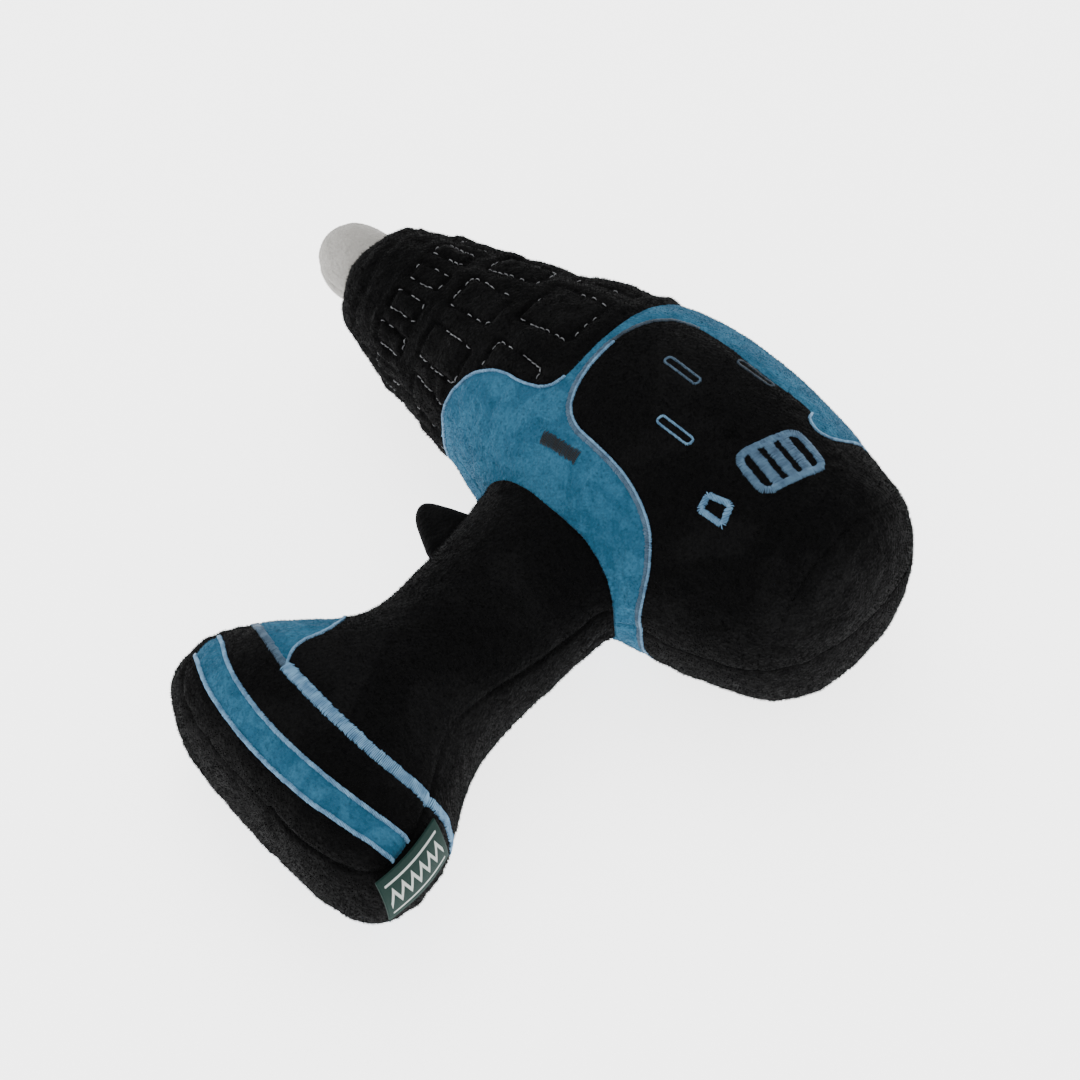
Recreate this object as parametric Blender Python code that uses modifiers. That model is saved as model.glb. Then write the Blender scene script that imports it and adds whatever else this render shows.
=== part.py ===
"""Soft toy power drill, lying on its right side: sewn plush panels over stuffing.

The toy is drawn in its own frame, in millimetres: x runs to the rear, y to the top
of the drill and z to its left side, with the sewing symmetry plane at z = 0.
A parent empty lays it on the floor, so that the body and the foot both touch.
"""

import math

import bmesh
import bpy
import numpy as np
from mathutils import Matrix, Vector

MM = 0.001

# Driving sizes, in millimetres.
BODY_LENGTH = 190.5
BODY_HEIGHT = 93.0
BODY_WIDTH = 73.6
HANDLE_DROP = 154.6
FOOT_LENGTH = 99.0
HANDLE_THICKNESS = 51.0
FABRIC = 2.0
SEAM_GAP = 0.3
FILL_GAP = 0.3
REST_FLAT = 0.5
TIP_RADIUS = 11.4
TIP_LENGTH = 19.0
TIP_FABRIC = 1.6
THREAD_DEPTH = 0.7
BORDER_WIDTH = 2.4
THIN_BORDER = 1.6
BAND_WIDTH = 5.2
SQUEAKER_RADIUS = 15.0
SQUEAKER_WALL = 1.0
SQUEAKER_PRESS = 8.0
TRIGGER_THICKNESS = 4.8
TRIGGER_FABRIC = 1.2
LABEL_LENGTH = 26.0
LABEL_WIDTH = 12.0
LABEL_THICKNESS = 0.7
LABEL_CLEARANCE = 1.8
BODY_SIDES = 24
HANDLE_SIDES = 20
TIP_SIDES = 16
BODY_ROUNDNESS = 2.15
HANDLE_ROUNDNESS = 2.5

# The plans below are drawn at these base sizes and follow the driving sizes.
X_RATIO = BODY_LENGTH / 190.5
Y_RATIO = BODY_HEIGHT / 93.0
Z_RATIO = BODY_WIDTH / 73.6
DROP_RATIO = HANDLE_DROP / 154.6
FOOT_RATIO = FOOT_LENGTH / 99.0
THICK_RATIO = HANDLE_THICKNESS / 51.0

# Body sections: x, centre height, half height, half width.
BODY_ROWS = (
    (-110.5, 6.4, 13.2, 13.2),
    (-109.2, 6.3, 15.2, 15.2),
    (-106.0, 6.2, 17.4, 17.3),
    (-101.0, 6.1, 19.6, 19.4),
    (-92.0, 6.0, 22.4, 21.8),
    (-79.0, 5.9, 25.6, 24.5),
    (-65.0, 5.4, 28.6, 27.2),
    (-55.0, 5.0, 31.3, 29.4),
    (-45.0, 4.7, 34.6, 31.8),
    (-35.0, 4.4, 38.4, 33.9),
    (-25.0, 4.0, 41.6, 35.3),
    (-15.0, 3.4, 44.2, 36.2),
    (-5.0, 2.8, 46.0, 36.7),
    (5.0, 2.1, 46.5, 36.8),
    (15.0, 1.4, 46.2, 36.5),
    (27.0, 0.4, 44.8, 35.7),
    (39.0, -0.5, 42.6, 34.7),
    (50.0, -1.4, 39.8, 33.6),
    (59.0, -1.8, 36.8, 32.5),
    (66.0, -1.7, 33.4, 31.2),
    (71.0, -1.4, 29.6, 28.8),
    (75.0, -0.8, 24.0, 24.2),
    (78.0, 0.2, 16.0, 16.6),
    (79.5, 1.2, 8.0, 8.6),
)
BODY_REAR = (80.0, 1.6)

# Handle and foot sections: centre x, centre y, slope in degrees, half length, half thickness.
HANDLE_ROWS = (
    (-1.5, -20.0, 0.0, 27.0, 19.0),
    (-1.5, -30.0, 0.0, 26.6, 19.5),
    (-1.2, -40.0, 0.0, 26.0, 20.0),
    (-1.0, -50.0, 0.0, 25.4, 20.0),
    (-0.6, -60.0, 0.0, 24.9, 20.0),
    (-0.2, -70.0, -1.0, 24.4, 20.2),
    (0.0, -80.0, -3.0, 23.8, 20.8),
    (0.0, -89.0, -5.0, 23.6, 21.8),
    (-0.8, -98.0, -7.0, 26.0, 23.0),
    (-2.0, -106.0, -9.0, 31.2, 24.2),
    (-3.2, -113.0, -10.0, 37.2, 25.0),
    (-4.4, -120.0, -10.0, 43.0, 25.4),
    (-5.6, -128.0, -10.0, 47.6, 25.5),
    (-6.4, -136.0, -11.0, 49.5, 25.0),
    (-7.2, -143.0, -11.0, 48.4, 23.6),
    (-8.0, -148.5, -11.0, 43.5, 20.8),
    (-8.4, -152.3, -11.0, 35.0, 15.0),
    (-8.5, -154.0, -11.0, 22.0, 8.0),
)
HANDLE_SOLE = (-8.5, -154.6)

# Seams and embroidery on the left side, seen from the side as x and y.
FRONT_EDGE = (
    (-54.0, -80.0), (-54.4, -27.0), (-54.4, -24.5), (-52.5, -22.0), (-48.7, -18.4),
    (-43.6, -15.8), (-38.0, -15.0), (-31.6, -15.8), (-25.6, -15.2), (-22.0, -12.8),
    (-20.6, -7.5), (-21.2, 4.3), (-21.0, 20.0), (-20.9, 34.0), (-20.5, 80.0),
)
COVER_EDGE = (
    (32.4, -80.0), (32.4, -43.7), (32.3, -41.0), (31.1, -37.3), (28.3, -33.0),
    (24.5, -29.6), (17.8, -26.2), (10.5, -23.6), (1.7, -21.8), (-6.8, -20.6),
    (-11.8, -18.4), (-14.8, -15.0), (-17.0, -9.2), (-18.4, -1.4), (-18.6, 7.4),
    (-17.4, 16.4), (-14.9, 23.6), (-11.4, 28.2), (-7.0, 30.0), (2.5, 29.6),
    (13.3, 29.0), (24.0, 28.9), (34.0, 29.2), (36.6, 27.8), (37.4, 24.8),
    (41.0, 22.8), (45.6, 23.4), (47.4, 28.0), (47.8, 34.0), (47.8, 80.0),
)
FRONT_BORDER_SPAN = (1, 10)
COVER_BORDER_SPAN = (1, 18)
NOTCH_BORDER_SPAN = (23, 28)
REAR_SEAM = 69.6
RIM_RADIUS_GAP = 0.3

SLOTS = (
    ("slot_upper", 4.2, 11.2, 12.6, 4.2, 5.0),
    ("slot_middle", 15.8, -5.9, 12.6, 4.2, 5.0),
    ("slot_edge", 17.6, 26.2, 12.6, 3.8, 0.0),
)
SLOT_STROKE = 1.2
TRAPEZOID = ((34.4, -15.2), (42.8, -13.6), (45.0, -20.8), (35.2, -20.6))
TRAPEZOID_STROKE = 1.5
VENT = (43.4, 5.2, 16.4, 22.4, 4.2)
VENT_SLOTS = (-2.2, 2.7, 7.6, 12.5)
VENT_SLOT_SIZE = (11.6, 1.6)
MARK = (-8.8, -25.7, 12.6, 4.4, -2.0)

BAND_LINE = ((-60.0, -104.0), (-38.5, -116.4), (-29.0, -121.0), (-19.0, -124.7), (-3.0, -127.8),
             (13.0, -129.4), (24.0, -128.8), (34.0, -126.6), (60.0, -119.0))
STRIPE_UPPER = ((-80.0, -107.0), (-47.5, -122.6), (-36.5, -131.0), (-24.2, -137.0), (-7.0, -141.4),
                (12.0, -143.2), (26.0, -142.2), (37.0, -139.6), (80.0, -128.0))
STRIPE_LOWER = ((-80.0, -114.0), (-49.5, -131.0), (-38.5, -138.4), (-25.9, -143.6), (-8.0, -148.2),
                (10.5, -150.2), (25.0, -149.4), (38.2, -146.4), (80.0, -135.0))
CORNER_LINE = ((-19.0, -125.4), (-22.4, -119.6), (-22.4, -114.5), (-20.6, -109.5), (-20.2, -104.0),
               (-23.0, -98.0), (-40.0, -86.0))
# Half width of the strip sewn along the rear of the handle, under the sole and up the front.
GUSSET = ((-30.0, 4.0), (-48.0, 5.0), (-66.0, 7.2), (-79.0, 9.2), (-88.0, 11.4), (-97.0, 13.4),
          (-106.0, 15.4), (-114.0, 16.0), (-124.0, 15.2), (-134.0, 14.6), (-142.0, 13.6),
          (-150.0, 12.4), (-175.0, 12.4))

# Trigger fin: distance out from its hinge line, and position along it from the top.
TRIGGER_OUTLINE = ((-2.4, 0.0), (5.0, 1.4), (11.4, 3.0), (13.4, 5.6), (11.6, 10.0), (6.2, 14.2),
                   (1.6, 17.6), (-2.4, 19.4))
TRIGGER_LENGTH = 19.4
TRIGGER_HEIGHT = -42.4
TRIGGER_GAPS = (2.892, 2.970)

SQUEAKER_CENTRE = (12.0, -2.0)
SQUEAKER_HEIGHT = SQUEAKER_PRESS + 9.0
SQUEAKER_COVER = 1.443


def material(name, colour, roughness, metallic=0.0):
    mat = bpy.data.materials.new(name)
    mat.use_nodes = True
    shader = mat.node_tree.nodes["Principled BSDF"]
    shader.inputs["Base Color"].default_value = (*colour, 1.0)
    shader.inputs["Roughness"].default_value = roughness
    shader.inputs["Metallic"].default_value = metallic
    mat.diffuse_color = (*colour, 1.0)
    return mat


def superellipse(count, power):
    angles = np.linspace(0.0, 2.0 * math.pi, count, endpoint=False)
    c = np.cos(angles)
    s = np.sin(angles)
    return np.sign(c) * np.abs(c) ** (2.0 / power), np.sign(s) * np.abs(s) ** (2.0 / power)


def body_rings():
    across, out = superellipse(BODY_SIDES, BODY_ROUNDNESS)
    rings = []
    for x, centre, half_height, half_width in BODY_ROWS:
        y = centre * Y_RATIO + half_height * Y_RATIO * across
        z = half_width * Z_RATIO * out
        rings.append(np.stack([np.full(BODY_SIDES, x * X_RATIO), y, z], 1))
    front = rings[0].mean(0)
    rear = np.array([BODY_REAR[0] * X_RATIO, BODY_REAR[1] * Y_RATIO, 0.0])
    return rings, front, rear


def handle_point(row, along, out):
    cx, cy, slope, half_length, half_thickness = row
    angle = math.radians(slope)
    reach = half_length * FOOT_RATIO * along
    x = cx + reach * math.cos(angle)
    y = cy * DROP_RATIO + reach * math.sin(angle)
    return x, y, half_thickness * THICK_RATIO * out


def handle_rings():
    along, out = superellipse(HANDLE_SIDES, HANDLE_ROUNDNESS)
    rings = [np.stack([*np.broadcast_arrays(*handle_point(row, along, out))], 1) for row in HANDLE_ROWS]
    top = rings[0].mean(0)
    sole = np.array([HANDLE_SOLE[0], HANDLE_SOLE[1] * DROP_RATIO, 0.0])
    return rings, top, sole


def tip_rings():
    centre_y = 6.4 * Y_RATIO
    front_x = BODY_ROWS[0][0] * X_RATIO
    rows = ((9.0, 0.96, 0.0), (-1.5, 1.0, 0.2), (-6.0, 0.99, 0.5), (-10.0, 0.93, 0.9),
            (-13.5, 0.79, 1.2), (-16.3, 0.58, 1.4), (-18.2, 0.32, 1.5))
    angles = np.linspace(0.0, 2.0 * math.pi, TIP_SIDES, endpoint=False)
    rings = []
    for offset, size, lift in rows:
        x = front_x + offset * TIP_LENGTH / 19.0
        radius = TIP_RADIUS * size
        y = centre_y + lift + radius * np.cos(angles)
        rings.append(np.stack([np.full(TIP_SIDES, x), y, radius * np.sin(angles)], 1))
    rings.reverse()
    front = np.array([front_x - TIP_LENGTH, centre_y + 1.5, 0.0])
    rear = rings[-1].mean(0)
    return rings, front, rear


def lay_angle():
    """The roll at which the side of the body and the side of the foot touch the same floor."""
    body = np.concatenate(body_rings()[0])
    foot = np.concatenate(handle_rings()[0][9:])
    low, high = 0.0, math.radians(15.0)
    for _ in range(40):
        roll = (low + high) / 2.0
        body_low = (body[:, 1] * math.sin(roll) + body[:, 2] * math.cos(roll)).min()
        foot_low = (foot[:, 1] * math.sin(roll) + foot[:, 2] * math.cos(roll)).min()
        if foot_low > body_low:
            low = roll
        else:
            high = roll
    return roll, body_low


ROLL, LOWEST = lay_angle()
FLOOR = LOWEST + REST_FLAT
UP = Vector((0.0, math.sin(ROLL), math.cos(ROLL)))


def loft(name, rings, start, end, inset=0.0, flat_rest=True):
    """A closed hull through the rings, moved inwards along its own normals.

    Its triangles are the same at every inset and on both sides, so that nested hulls stay clear.
    """
    bm = bmesh.new()
    grid = [[bm.verts.new(point) for point in ring] for ring in rings]
    first = bm.verts.new(start)
    last = bm.verts.new(end)
    count = len(grid[0])
    for i in range(count):
        j = (i + 1) % count
        bm.faces.new((first, grid[0][j], grid[0][i]))
        bm.faces.new((last, grid[-1][i], grid[-1][j]))
        for a, b in zip(grid, grid[1:]):
            if i < count // 2:
                bm.faces.new((a[i], a[j], b[j]))
                bm.faces.new((a[i], b[j], b[i]))
            else:
                bm.faces.new((a[i], a[j], b[i]))
                bm.faces.new((a[j], b[j], b[i]))
    if flat_rest:
        for vert in bm.verts:
            depth = FLOOR - vert.co.dot(UP)
            if depth > 0.0:
                vert.co += UP * depth
    bmesh.ops.recalc_face_normals(bm, faces=bm.faces)
    bm.normal_update()
    if inset:
        moves = [(vert, vert.normal.copy()) for vert in bm.verts]
        for vert, normal in moves:
            vert.co -= normal * inset
    for vert in bm.verts:
        vert.co *= MM
    mesh = bpy.data.meshes.new(name)
    bm.to_mesh(mesh)
    bm.free()
    return mesh


def sparse(rings, start, end):
    """The same hull with every second ring and point, for the faces that stay inside."""
    kept = [ring[::2] for ring in rings[:-1:2]]
    kept.append(rings[-1][::2])
    return kept, start, end


def shell(name, hull, outer, inner, lining):
    """The layer between an inset of one hull and an inset of another."""
    bm = bmesh.new()
    bm.from_mesh(loft(name + "_outer", *hull, outer))
    count = len(bm.faces)
    bm.from_mesh(loft(name + "_inner", *lining, inner))
    bm.faces.ensure_lookup_table()
    bmesh.ops.reverse_faces(bm, faces=bm.faces[count:])
    mesh = bpy.data.meshes.new(name)
    bm.to_mesh(mesh)
    bm.free()
    return mesh


def link(name, mesh, group, mat=None):
    obj = bpy.data.objects.new(name, mesh)
    group.objects.link(obj)
    obj.parent = FRAME
    if mat:
        obj.data.materials.append(mat)
    return obj


def cutter(name, mesh):
    obj = link(name, mesh, CUTTERS)
    obj.hide_render = True
    obj.hide_viewport = False
    obj.display_type = "WIRE"
    return obj


def prism(name, outline, low, high, axis="Z"):
    """An outline drawn on a plane, extruded between two heights along an axis."""
    bm = bmesh.new()
    if axis == "Z":
        points = [Vector((u, v, low)) for u, v in outline]
        step = Vector((0.0, 0.0, high - low))
    else:
        points = [Vector((low, u, v)) for u, v in outline]
        step = Vector((high - low, 0.0, 0.0))
    face = bm.faces.new([bm.verts.new(point * MM) for point in points])
    made = bmesh.ops.extrude_face_region(bm, geom=[face])["geom"]
    bmesh.ops.translate(bm, vec=step * MM, verts=[v for v in made if isinstance(v, bmesh.types.BMVert)])
    bmesh.ops.recalc_face_normals(bm, faces=bm.faces)
    mesh = bpy.data.meshes.new(name)
    bm.to_mesh(mesh)
    bm.free()
    return cutter(name, mesh)


def boolean(obj, other, operation):
    """Faces left by one Boolean are made triangles before the next, as they may not be quite flat."""
    if obj.modifiers:
        obj.modifiers.new("Triangles", "TRIANGULATE")
    mod = obj.modifiers.new(operation.title() + " " + other.name, "BOOLEAN")
    mod.operation = operation
    mod.solver = "EXACT"
    mod.object = other
    return mod


def offset_line(points, distance):
    """The open line moved to its left by a distance."""
    line = np.array(points, float)
    steps = np.diff(line, axis=0)
    steps /= np.linalg.norm(steps, axis=1)[:, None]
    sides = np.stack([-steps[:, 1], steps[:, 0]], 1)
    joined = np.vstack([sides[:1], sides[:-1] + sides[1:], sides[-1:]])
    joined /= np.linalg.norm(joined, axis=1)[:, None]
    scale = np.ones(len(line))
    scale[1:-1] = 1.0 / np.maximum(0.5, (joined[1:-1] * sides[1:]).sum(1))
    return [tuple(p) for p in line + joined * scale[:, None] * distance]


def ribbon(points, width, ends=0.0):
    """A strip of even width along an open line, lengthened at both ends."""
    line = np.array(points, float)
    first = line[0] - line[1]
    last = line[-1] - line[-2]
    line[0] += first / np.linalg.norm(first) * ends
    line[-1] += last / np.linalg.norm(last) * ends
    return offset_line(line, width / 2.0) + offset_line(line, -width / 2.0)[::-1]


def rounded_box(cx, cy, length, height, radius, slope=0.0, corner_steps=2):
    points = []
    for qx, qy, start in ((1, 1, 0), (-1, 1, 90), (-1, -1, 180), (1, -1, 270)):
        for k in range(corner_steps + 1):
            angle = math.radians(start + 90.0 * k / corner_steps)
            x = qx * (length / 2.0 - radius) + radius * math.cos(angle)
            y = qy * (height / 2.0 - radius) + radius * math.sin(angle)
            points.append((x, y))
    turn = math.radians(slope)
    c, s = math.cos(turn), math.sin(turn)
    return [(cx + x * c - y * s, cy + x * s + y * c) for x, y in points]


def on_body(points):
    return [(x * X_RATIO, y * Y_RATIO) for x, y in points]


def on_handle(points):
    return [(x * FOOT_RATIO, y * DROP_RATIO) for x, y in points]


def grow(outline, distance):
    """A closed outline moved outwards by a distance."""
    ring = np.array(outline, float)
    area = np.sum(ring[:, 0] * np.roll(ring[:, 1], -1) - np.roll(ring[:, 0], -1) * ring[:, 1])
    before = ring - np.roll(ring, 1, axis=0)
    after = np.roll(ring, -1, axis=0) - ring
    before /= np.linalg.norm(before, axis=1)[:, None]
    after /= np.linalg.norm(after, axis=1)[:, None]
    side = 1.0 if area > 0 else -1.0
    n1 = np.stack([before[:, 1], -before[:, 0]], 1) * side
    n2 = np.stack([after[:, 1], -after[:, 0]], 1) * side
    joined = n1 + n2
    joined /= np.linalg.norm(joined, axis=1)[:, None]
    scale = 1.0 / np.maximum(0.5, (joined * n2).sum(1))
    return [tuple(p) for p in ring + joined * scale[:, None] * distance]


HALF = SEAM_GAP / 2.0
SIDES = (("left", HALF, 90.0), ("right", -90.0, -HALF))


def panel(name, source, mat, keep, remove=()):
    """The part of a layer inside one zone, which is itself shaped first; returns that zone."""
    zone = keep[0].copy()
    zone.name = name + "_cut"
    CUTTERS.objects.link(zone)
    for other in keep[1:]:
        boolean(zone, other, "INTERSECT")
    for other in remove:
        boolean(zone, other, "DIFFERENCE")
    obj = link(name, source, PARTS)
    obj.material_slots[0].link = "OBJECT" if obj.material_slots else "DATA"
    obj.material_slots[0].material = mat
    boolean(obj, zone, "INTERSECT")
    return zone


for old in list(bpy.data.objects):
    bpy.data.objects.remove(old, do_unlink=True)

PARTS = bpy.data.collections.new("plush_toy_drill")
CUTTERS = bpy.data.collections.new("cutters")
bpy.context.scene.collection.children.link(PARTS)
bpy.context.scene.collection.children.link(CUTTERS)
FRAME = bpy.data.objects.new("lay_on_side", None)
PARTS.objects.link(FRAME)

BLACK = material("black_plush", (0.012, 0.013, 0.014), 0.95)
BLUE = material("blue_plush", (0.036, 0.205, 0.402), 0.92)
GREY = material("grey_plush", (0.55, 0.53, 0.50), 0.95)
THREAD = material("light_blue_thread", (0.30, 0.50, 0.68), 0.55)
DARK_THREAD = material("black_thread", (0.03, 0.03, 0.03), 0.55)
FILL = material("polyester_stuffing", (0.85, 0.85, 0.83), 1.0)
LABEL = material("green_woven_label", (0.010, 0.050, 0.038), 0.7)
RUBBER = material("squeaker_vinyl", (0.80, 0.78, 0.72), 0.5)
REED = material("reed_plastic", (0.75, 0.20, 0.15), 0.4)

body = body_rings()
handle = handle_rings()
tip = tip_rings()

# Layers of the three hulls.
body_lining = sparse(*body)
handle_lining = sparse(*handle)
tip_lining = sparse(*tip)
body_cloth = shell("body_cloth", body, 0.0, FABRIC, body_lining)
body_pile = shell("body_pile", body, 0.0, THREAD_DEPTH, body)
handle_cloth = shell("handle_cloth", handle, 0.0, FABRIC, handle_lining)
tip_cloth = shell("tip_cloth", tip, 0.0, TIP_FABRIC, tip_lining)
for sheet in (body_cloth, body_pile, handle_cloth, tip_cloth):
    sheet.materials.append(BLACK)
body_around = cutter("body_around", loft("body_around", *body, -SEAM_GAP))
under_thread = cutter("under_thread", loft("under_thread", *body, THREAD_DEPTH + SEAM_GAP))
handle_opening = cutter("handle_opening", loft("handle_opening", *handle, FABRIC))
fill_around = cutter("fill_around", loft("fill_around", *body, FABRIC))
tip_opening = cutter("tip_opening", loft("tip_opening", *tip, -RIM_RADIUS_GAP))

# Nose tip: two halves sewn on the symmetry plane, ending inside the opening of the chuck.
tip_end = BODY_ROWS[0][0] * X_RATIO + FABRIC
for side, low, high in SIDES:
    outline = [(-170.0 * X_RATIO, -60.0), (tip_end, -60.0), (tip_end, 80.0), (-170.0 * X_RATIO, 80.0)]
    zone = prism("tip_zone_" + side, outline, low, high)
    panel("nose_tip_" + side, tip_cloth, GREY, [zone])

front_edge = on_body(FRONT_EDGE)
cover_edge = on_body(COVER_EDGE)
rear_x = REAR_SEAM * X_RATIO
far_left = -140.0 * X_RATIO
far_right = 110.0 * X_RATIO
front_span = front_edge[FRONT_BORDER_SPAN[0]:FRONT_BORDER_SPAN[1] + 1]
cover_span = cover_edge[COVER_BORDER_SPAN[0]:COVER_BORDER_SPAN[1] + 1]
cover_span[0] = (cover_span[0][0], cover_span[0][1] - 12.0)
front_span[0] = (front_span[0][0], front_span[0][1] - 12.0)
notch_span = cover_edge[NOTCH_BORDER_SPAN[0]:NOTCH_BORDER_SPAN[1] + 1]
notch_span[-1] = (notch_span[-1][0], notch_span[-1][1] + 20.0)


def slot_outline(row, extra):
    cx, cy, length, height, slope = row
    radius = max(0.02, min(height * 0.4 + extra, height / 2.0 + extra - 0.05))
    return rounded_box(cx * X_RATIO, cy * Y_RATIO, length + 2 * extra, height + 2 * extra, radius, slope)


figures = {}
for slot_name, *slot_row in SLOTS:
    sizes = (0.0, -SLOT_STROKE, SEAM_GAP, -SLOT_STROKE - SEAM_GAP)
    figures[slot_name] = [slot_outline(slot_row, extra) for extra in sizes]
sizes = (0.0, -TRAPEZOID_STROKE, SEAM_GAP, -TRAPEZOID_STROKE - SEAM_GAP)
figures["trapezoid"] = [grow(on_body(TRAPEZOID), extra) for extra in sizes]
vent_x = VENT[0] * X_RATIO
vent_outline = rounded_box(vent_x, VENT[1] * Y_RATIO, VENT[2], VENT[3], VENT[4], 4.0)
mark_outline = rounded_box(MARK[0] * X_RATIO, MARK[1] * Y_RATIO, MARK[2], MARK[3], 0.9, MARK[4])

for side, low, high in SIDES:
    # Regions of the body panels, with half a seam gap on each side of every seam.
    chuck_zone = prism("chuck_zone_" + side, [(far_left, -80.0), *offset_line(front_edge, HALF),
                                              (far_left, 80.0)], low, high)
    gear_zone = prism("gearcase_zone_" + side, offset_line(front_edge, -HALF)
                      + offset_line(cover_edge, HALF)[::-1], low, high)
    motor_zone = prism("motor_zone_" + side, offset_line(cover_edge, -HALF)
                       + [(rear_x - HALF, 80.0), (rear_x - HALF, -80.0)], low, high)
    rear_zone = prism("rear_zone_" + side, [(rear_x + HALF, -80.0), (far_right, -80.0),
                                            (far_right, 80.0), (rear_x + HALF, 80.0)], low, high)
    front_border = prism("front_border_zone_" + side, ribbon(front_span, THIN_BORDER), low, high)
    front_clear = prism("front_border_room_" + side,
                        ribbon(front_span, THIN_BORDER + 2 * SEAM_GAP, SEAM_GAP), low, high)
    cover_border = prism("cover_border_zone_" + side, ribbon(cover_span, BORDER_WIDTH), low, high)
    cover_clear = prism("cover_border_room_" + side,
                        ribbon(cover_span, BORDER_WIDTH + 2 * SEAM_GAP, SEAM_GAP), low, high)
    notch_border = prism("notch_border_zone_" + side, ribbon(notch_span, THIN_BORDER), low, high)
    notch_clear = prism("notch_border_room_" + side,
                        ribbon(notch_span, THIN_BORDER + 2 * SEAM_GAP, SEAM_GAP), low, high)
    panel("chuck_" + side, body_cloth, BLACK, [chuck_zone], [front_clear, tip_opening])
    gear = panel("gearcase_" + side, body_cloth, BLUE, [gear_zone],
                 [handle_opening, front_clear, cover_clear, notch_clear])
    motor = panel("motor_cover_" + side, body_cloth, BLACK, [motor_zone], [cover_clear, notch_clear])
    panel("rear_cap_" + side, body_cloth, BLACK, [rear_zone])
    panel("gearcase_front_border_" + side, body_cloth, THREAD, [front_border])
    panel("motor_cover_border_" + side, body_cloth, THREAD, [cover_border])
    panel("notch_border_" + side, body_cloth, THREAD, [notch_border])

    # Embroidery sunk into the pile: each figure has a pocket one seam gap wider and deeper.
    reach = (8.0, 90.0) if side == "left" else (-90.0, -8.0)
    for figure, outlines in figures.items():
        outer = prism(f"{figure}_outer_{side}", outlines[0], *reach)
        inner = prism(f"{figure}_inner_{side}", outlines[1], -99.0, 99.0)
        figure_room = prism(f"{figure}_room_{side}", outlines[2], *reach)
        island = prism(f"{figure}_island_{side}", outlines[3], -98.0, 98.0)
        boolean(figure_room, island, "DIFFERENCE")
        boolean(figure_room, under_thread, "DIFFERENCE")
        panel(f"{figure}_{side}", body_pile, THREAD, [outer], [inner])
        boolean(motor, figure_room, "DIFFERENCE")
    vent_zone = prism("vent_zone_" + side, vent_outline, *reach)
    vent_room = prism("vent_room_" + side, grow(vent_outline, SEAM_GAP), *reach)
    boolean(vent_room, under_thread, "DIFFERENCE")
    gaps = []
    for k, slot_y in enumerate(VENT_SLOTS):
        length, height = VENT_SLOT_SIZE
        outline = rounded_box(vent_x, slot_y * Y_RATIO, length, height, height * 0.45, 4.0)
        gaps.append(prism(f"vent_slot_{k}_{side}", outline, *reach))
    panel("vent_grille_" + side, body_pile, THREAD, [vent_zone], gaps)
    boolean(motor, vent_room, "DIFFERENCE")
    mark_zone = prism("mark_zone_" + side, mark_outline, *reach)
    mark_room = prism("mark_room_" + side, grow(mark_outline, SEAM_GAP), *reach)
    boolean(mark_room, under_thread, "DIFFERENCE")
    panel("side_mark_" + side, body_pile, DARK_THREAD, [mark_zone])
    boolean(gear, mark_room, "DIFFERENCE")

# Handle and foot.
band_line = on_handle(BAND_LINE)
upper_line = on_handle(STRIPE_UPPER)
lower_line = on_handle(STRIPE_LOWER)
corner_line = on_handle(CORNER_LINE)
band_half = BAND_WIDTH / 2.0 + HALF
thin_half = THIN_BORDER / 2.0 + HALF
wall = 110.0 * FOOT_RATIO
floor_y = -200.0 * DROP_RATIO
gusset_points = [(y * DROP_RATIO, w * THICK_RATIO) for y, w in GUSSET]


def gusset_zone(name, extra, plan):
    outline = [(y, w + extra) for y, w in gusset_points] + [(y, -w - extra) for y, w in gusset_points[::-1]]
    strip = prism(name, outline, -wall - 3.0, wall + 3.0, "X")
    boolean(strip, prism(name + "_plan", plan, -60.0, 60.0), "INTERSECT")
    return strip


handle_top = [(-44.0, -24.0), (44.0, -24.0)]
above_band = handle_top + offset_line(band_line, band_half)[::-1]
front_top = -118.4 * DROP_RATIO
far = wall + 9.0
gusset_plan = [(far, -22.0), (4.0, -22.0), (4.0, -130.0 * DROP_RATIO), (-16.0, -130.0 * DROP_RATIO),
               (-24.0, front_top), (-far, front_top), (-far, floor_y - 9.0), (far, floor_y - 9.0)]
gusset_room = gusset_zone("gusset_room", HALF, gusset_plan)
gusset_strip = gusset_zone("gusset_strip", -HALF, gusset_plan)
band_top = offset_line(band_line, BAND_WIDTH / 2.0)
band_low = offset_line(band_line, -BAND_WIDTH / 2.0)
band_plan = prism("band_plan", band_top + band_low[::-1], -60.0, 60.0)
rear_half = prism("rear_half", [(3.4, -15.0), (far + 3.0, -15.0), (far + 3.0, floor_y - 12.0),
                                (3.4, floor_y - 12.0)], -62.0, 62.0)
upper_gusset = prism("upper_gusset_plan", above_band, -60.0, 60.0)
lower_gusset = prism("lower_gusset_plan", offset_line(band_line, -band_half)
                     + [(wall, floor_y), (-wall, floor_y)], -60.0, 60.0)
panel("handle_gusset", handle_cloth, BLACK, [gusset_strip, rear_half, upper_gusset], [body_around])
panel("foot_gusset", handle_cloth, BLACK, [gusset_strip, lower_gusset])
panel("satin_band_rear", handle_cloth, THREAD, [gusset_strip, rear_half, band_plan])

corner = prism("corner_zone", corner_line + [(-wall - 7.0, -86.0 * DROP_RATIO), (-wall - 7.0, floor_y - 7.0),
                                             (corner_line[0][0], floor_y - 7.0)], -95.0, 95.0)
stitch = prism("corner_stitch_zone", ribbon(corner_line, THIN_BORDER), -96.0, 96.0)
stitch_room = prism("corner_stitch_room", ribbon(corner_line, THIN_BORDER + 2 * SEAM_GAP, 6.0), -97.0, 97.0)

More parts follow.
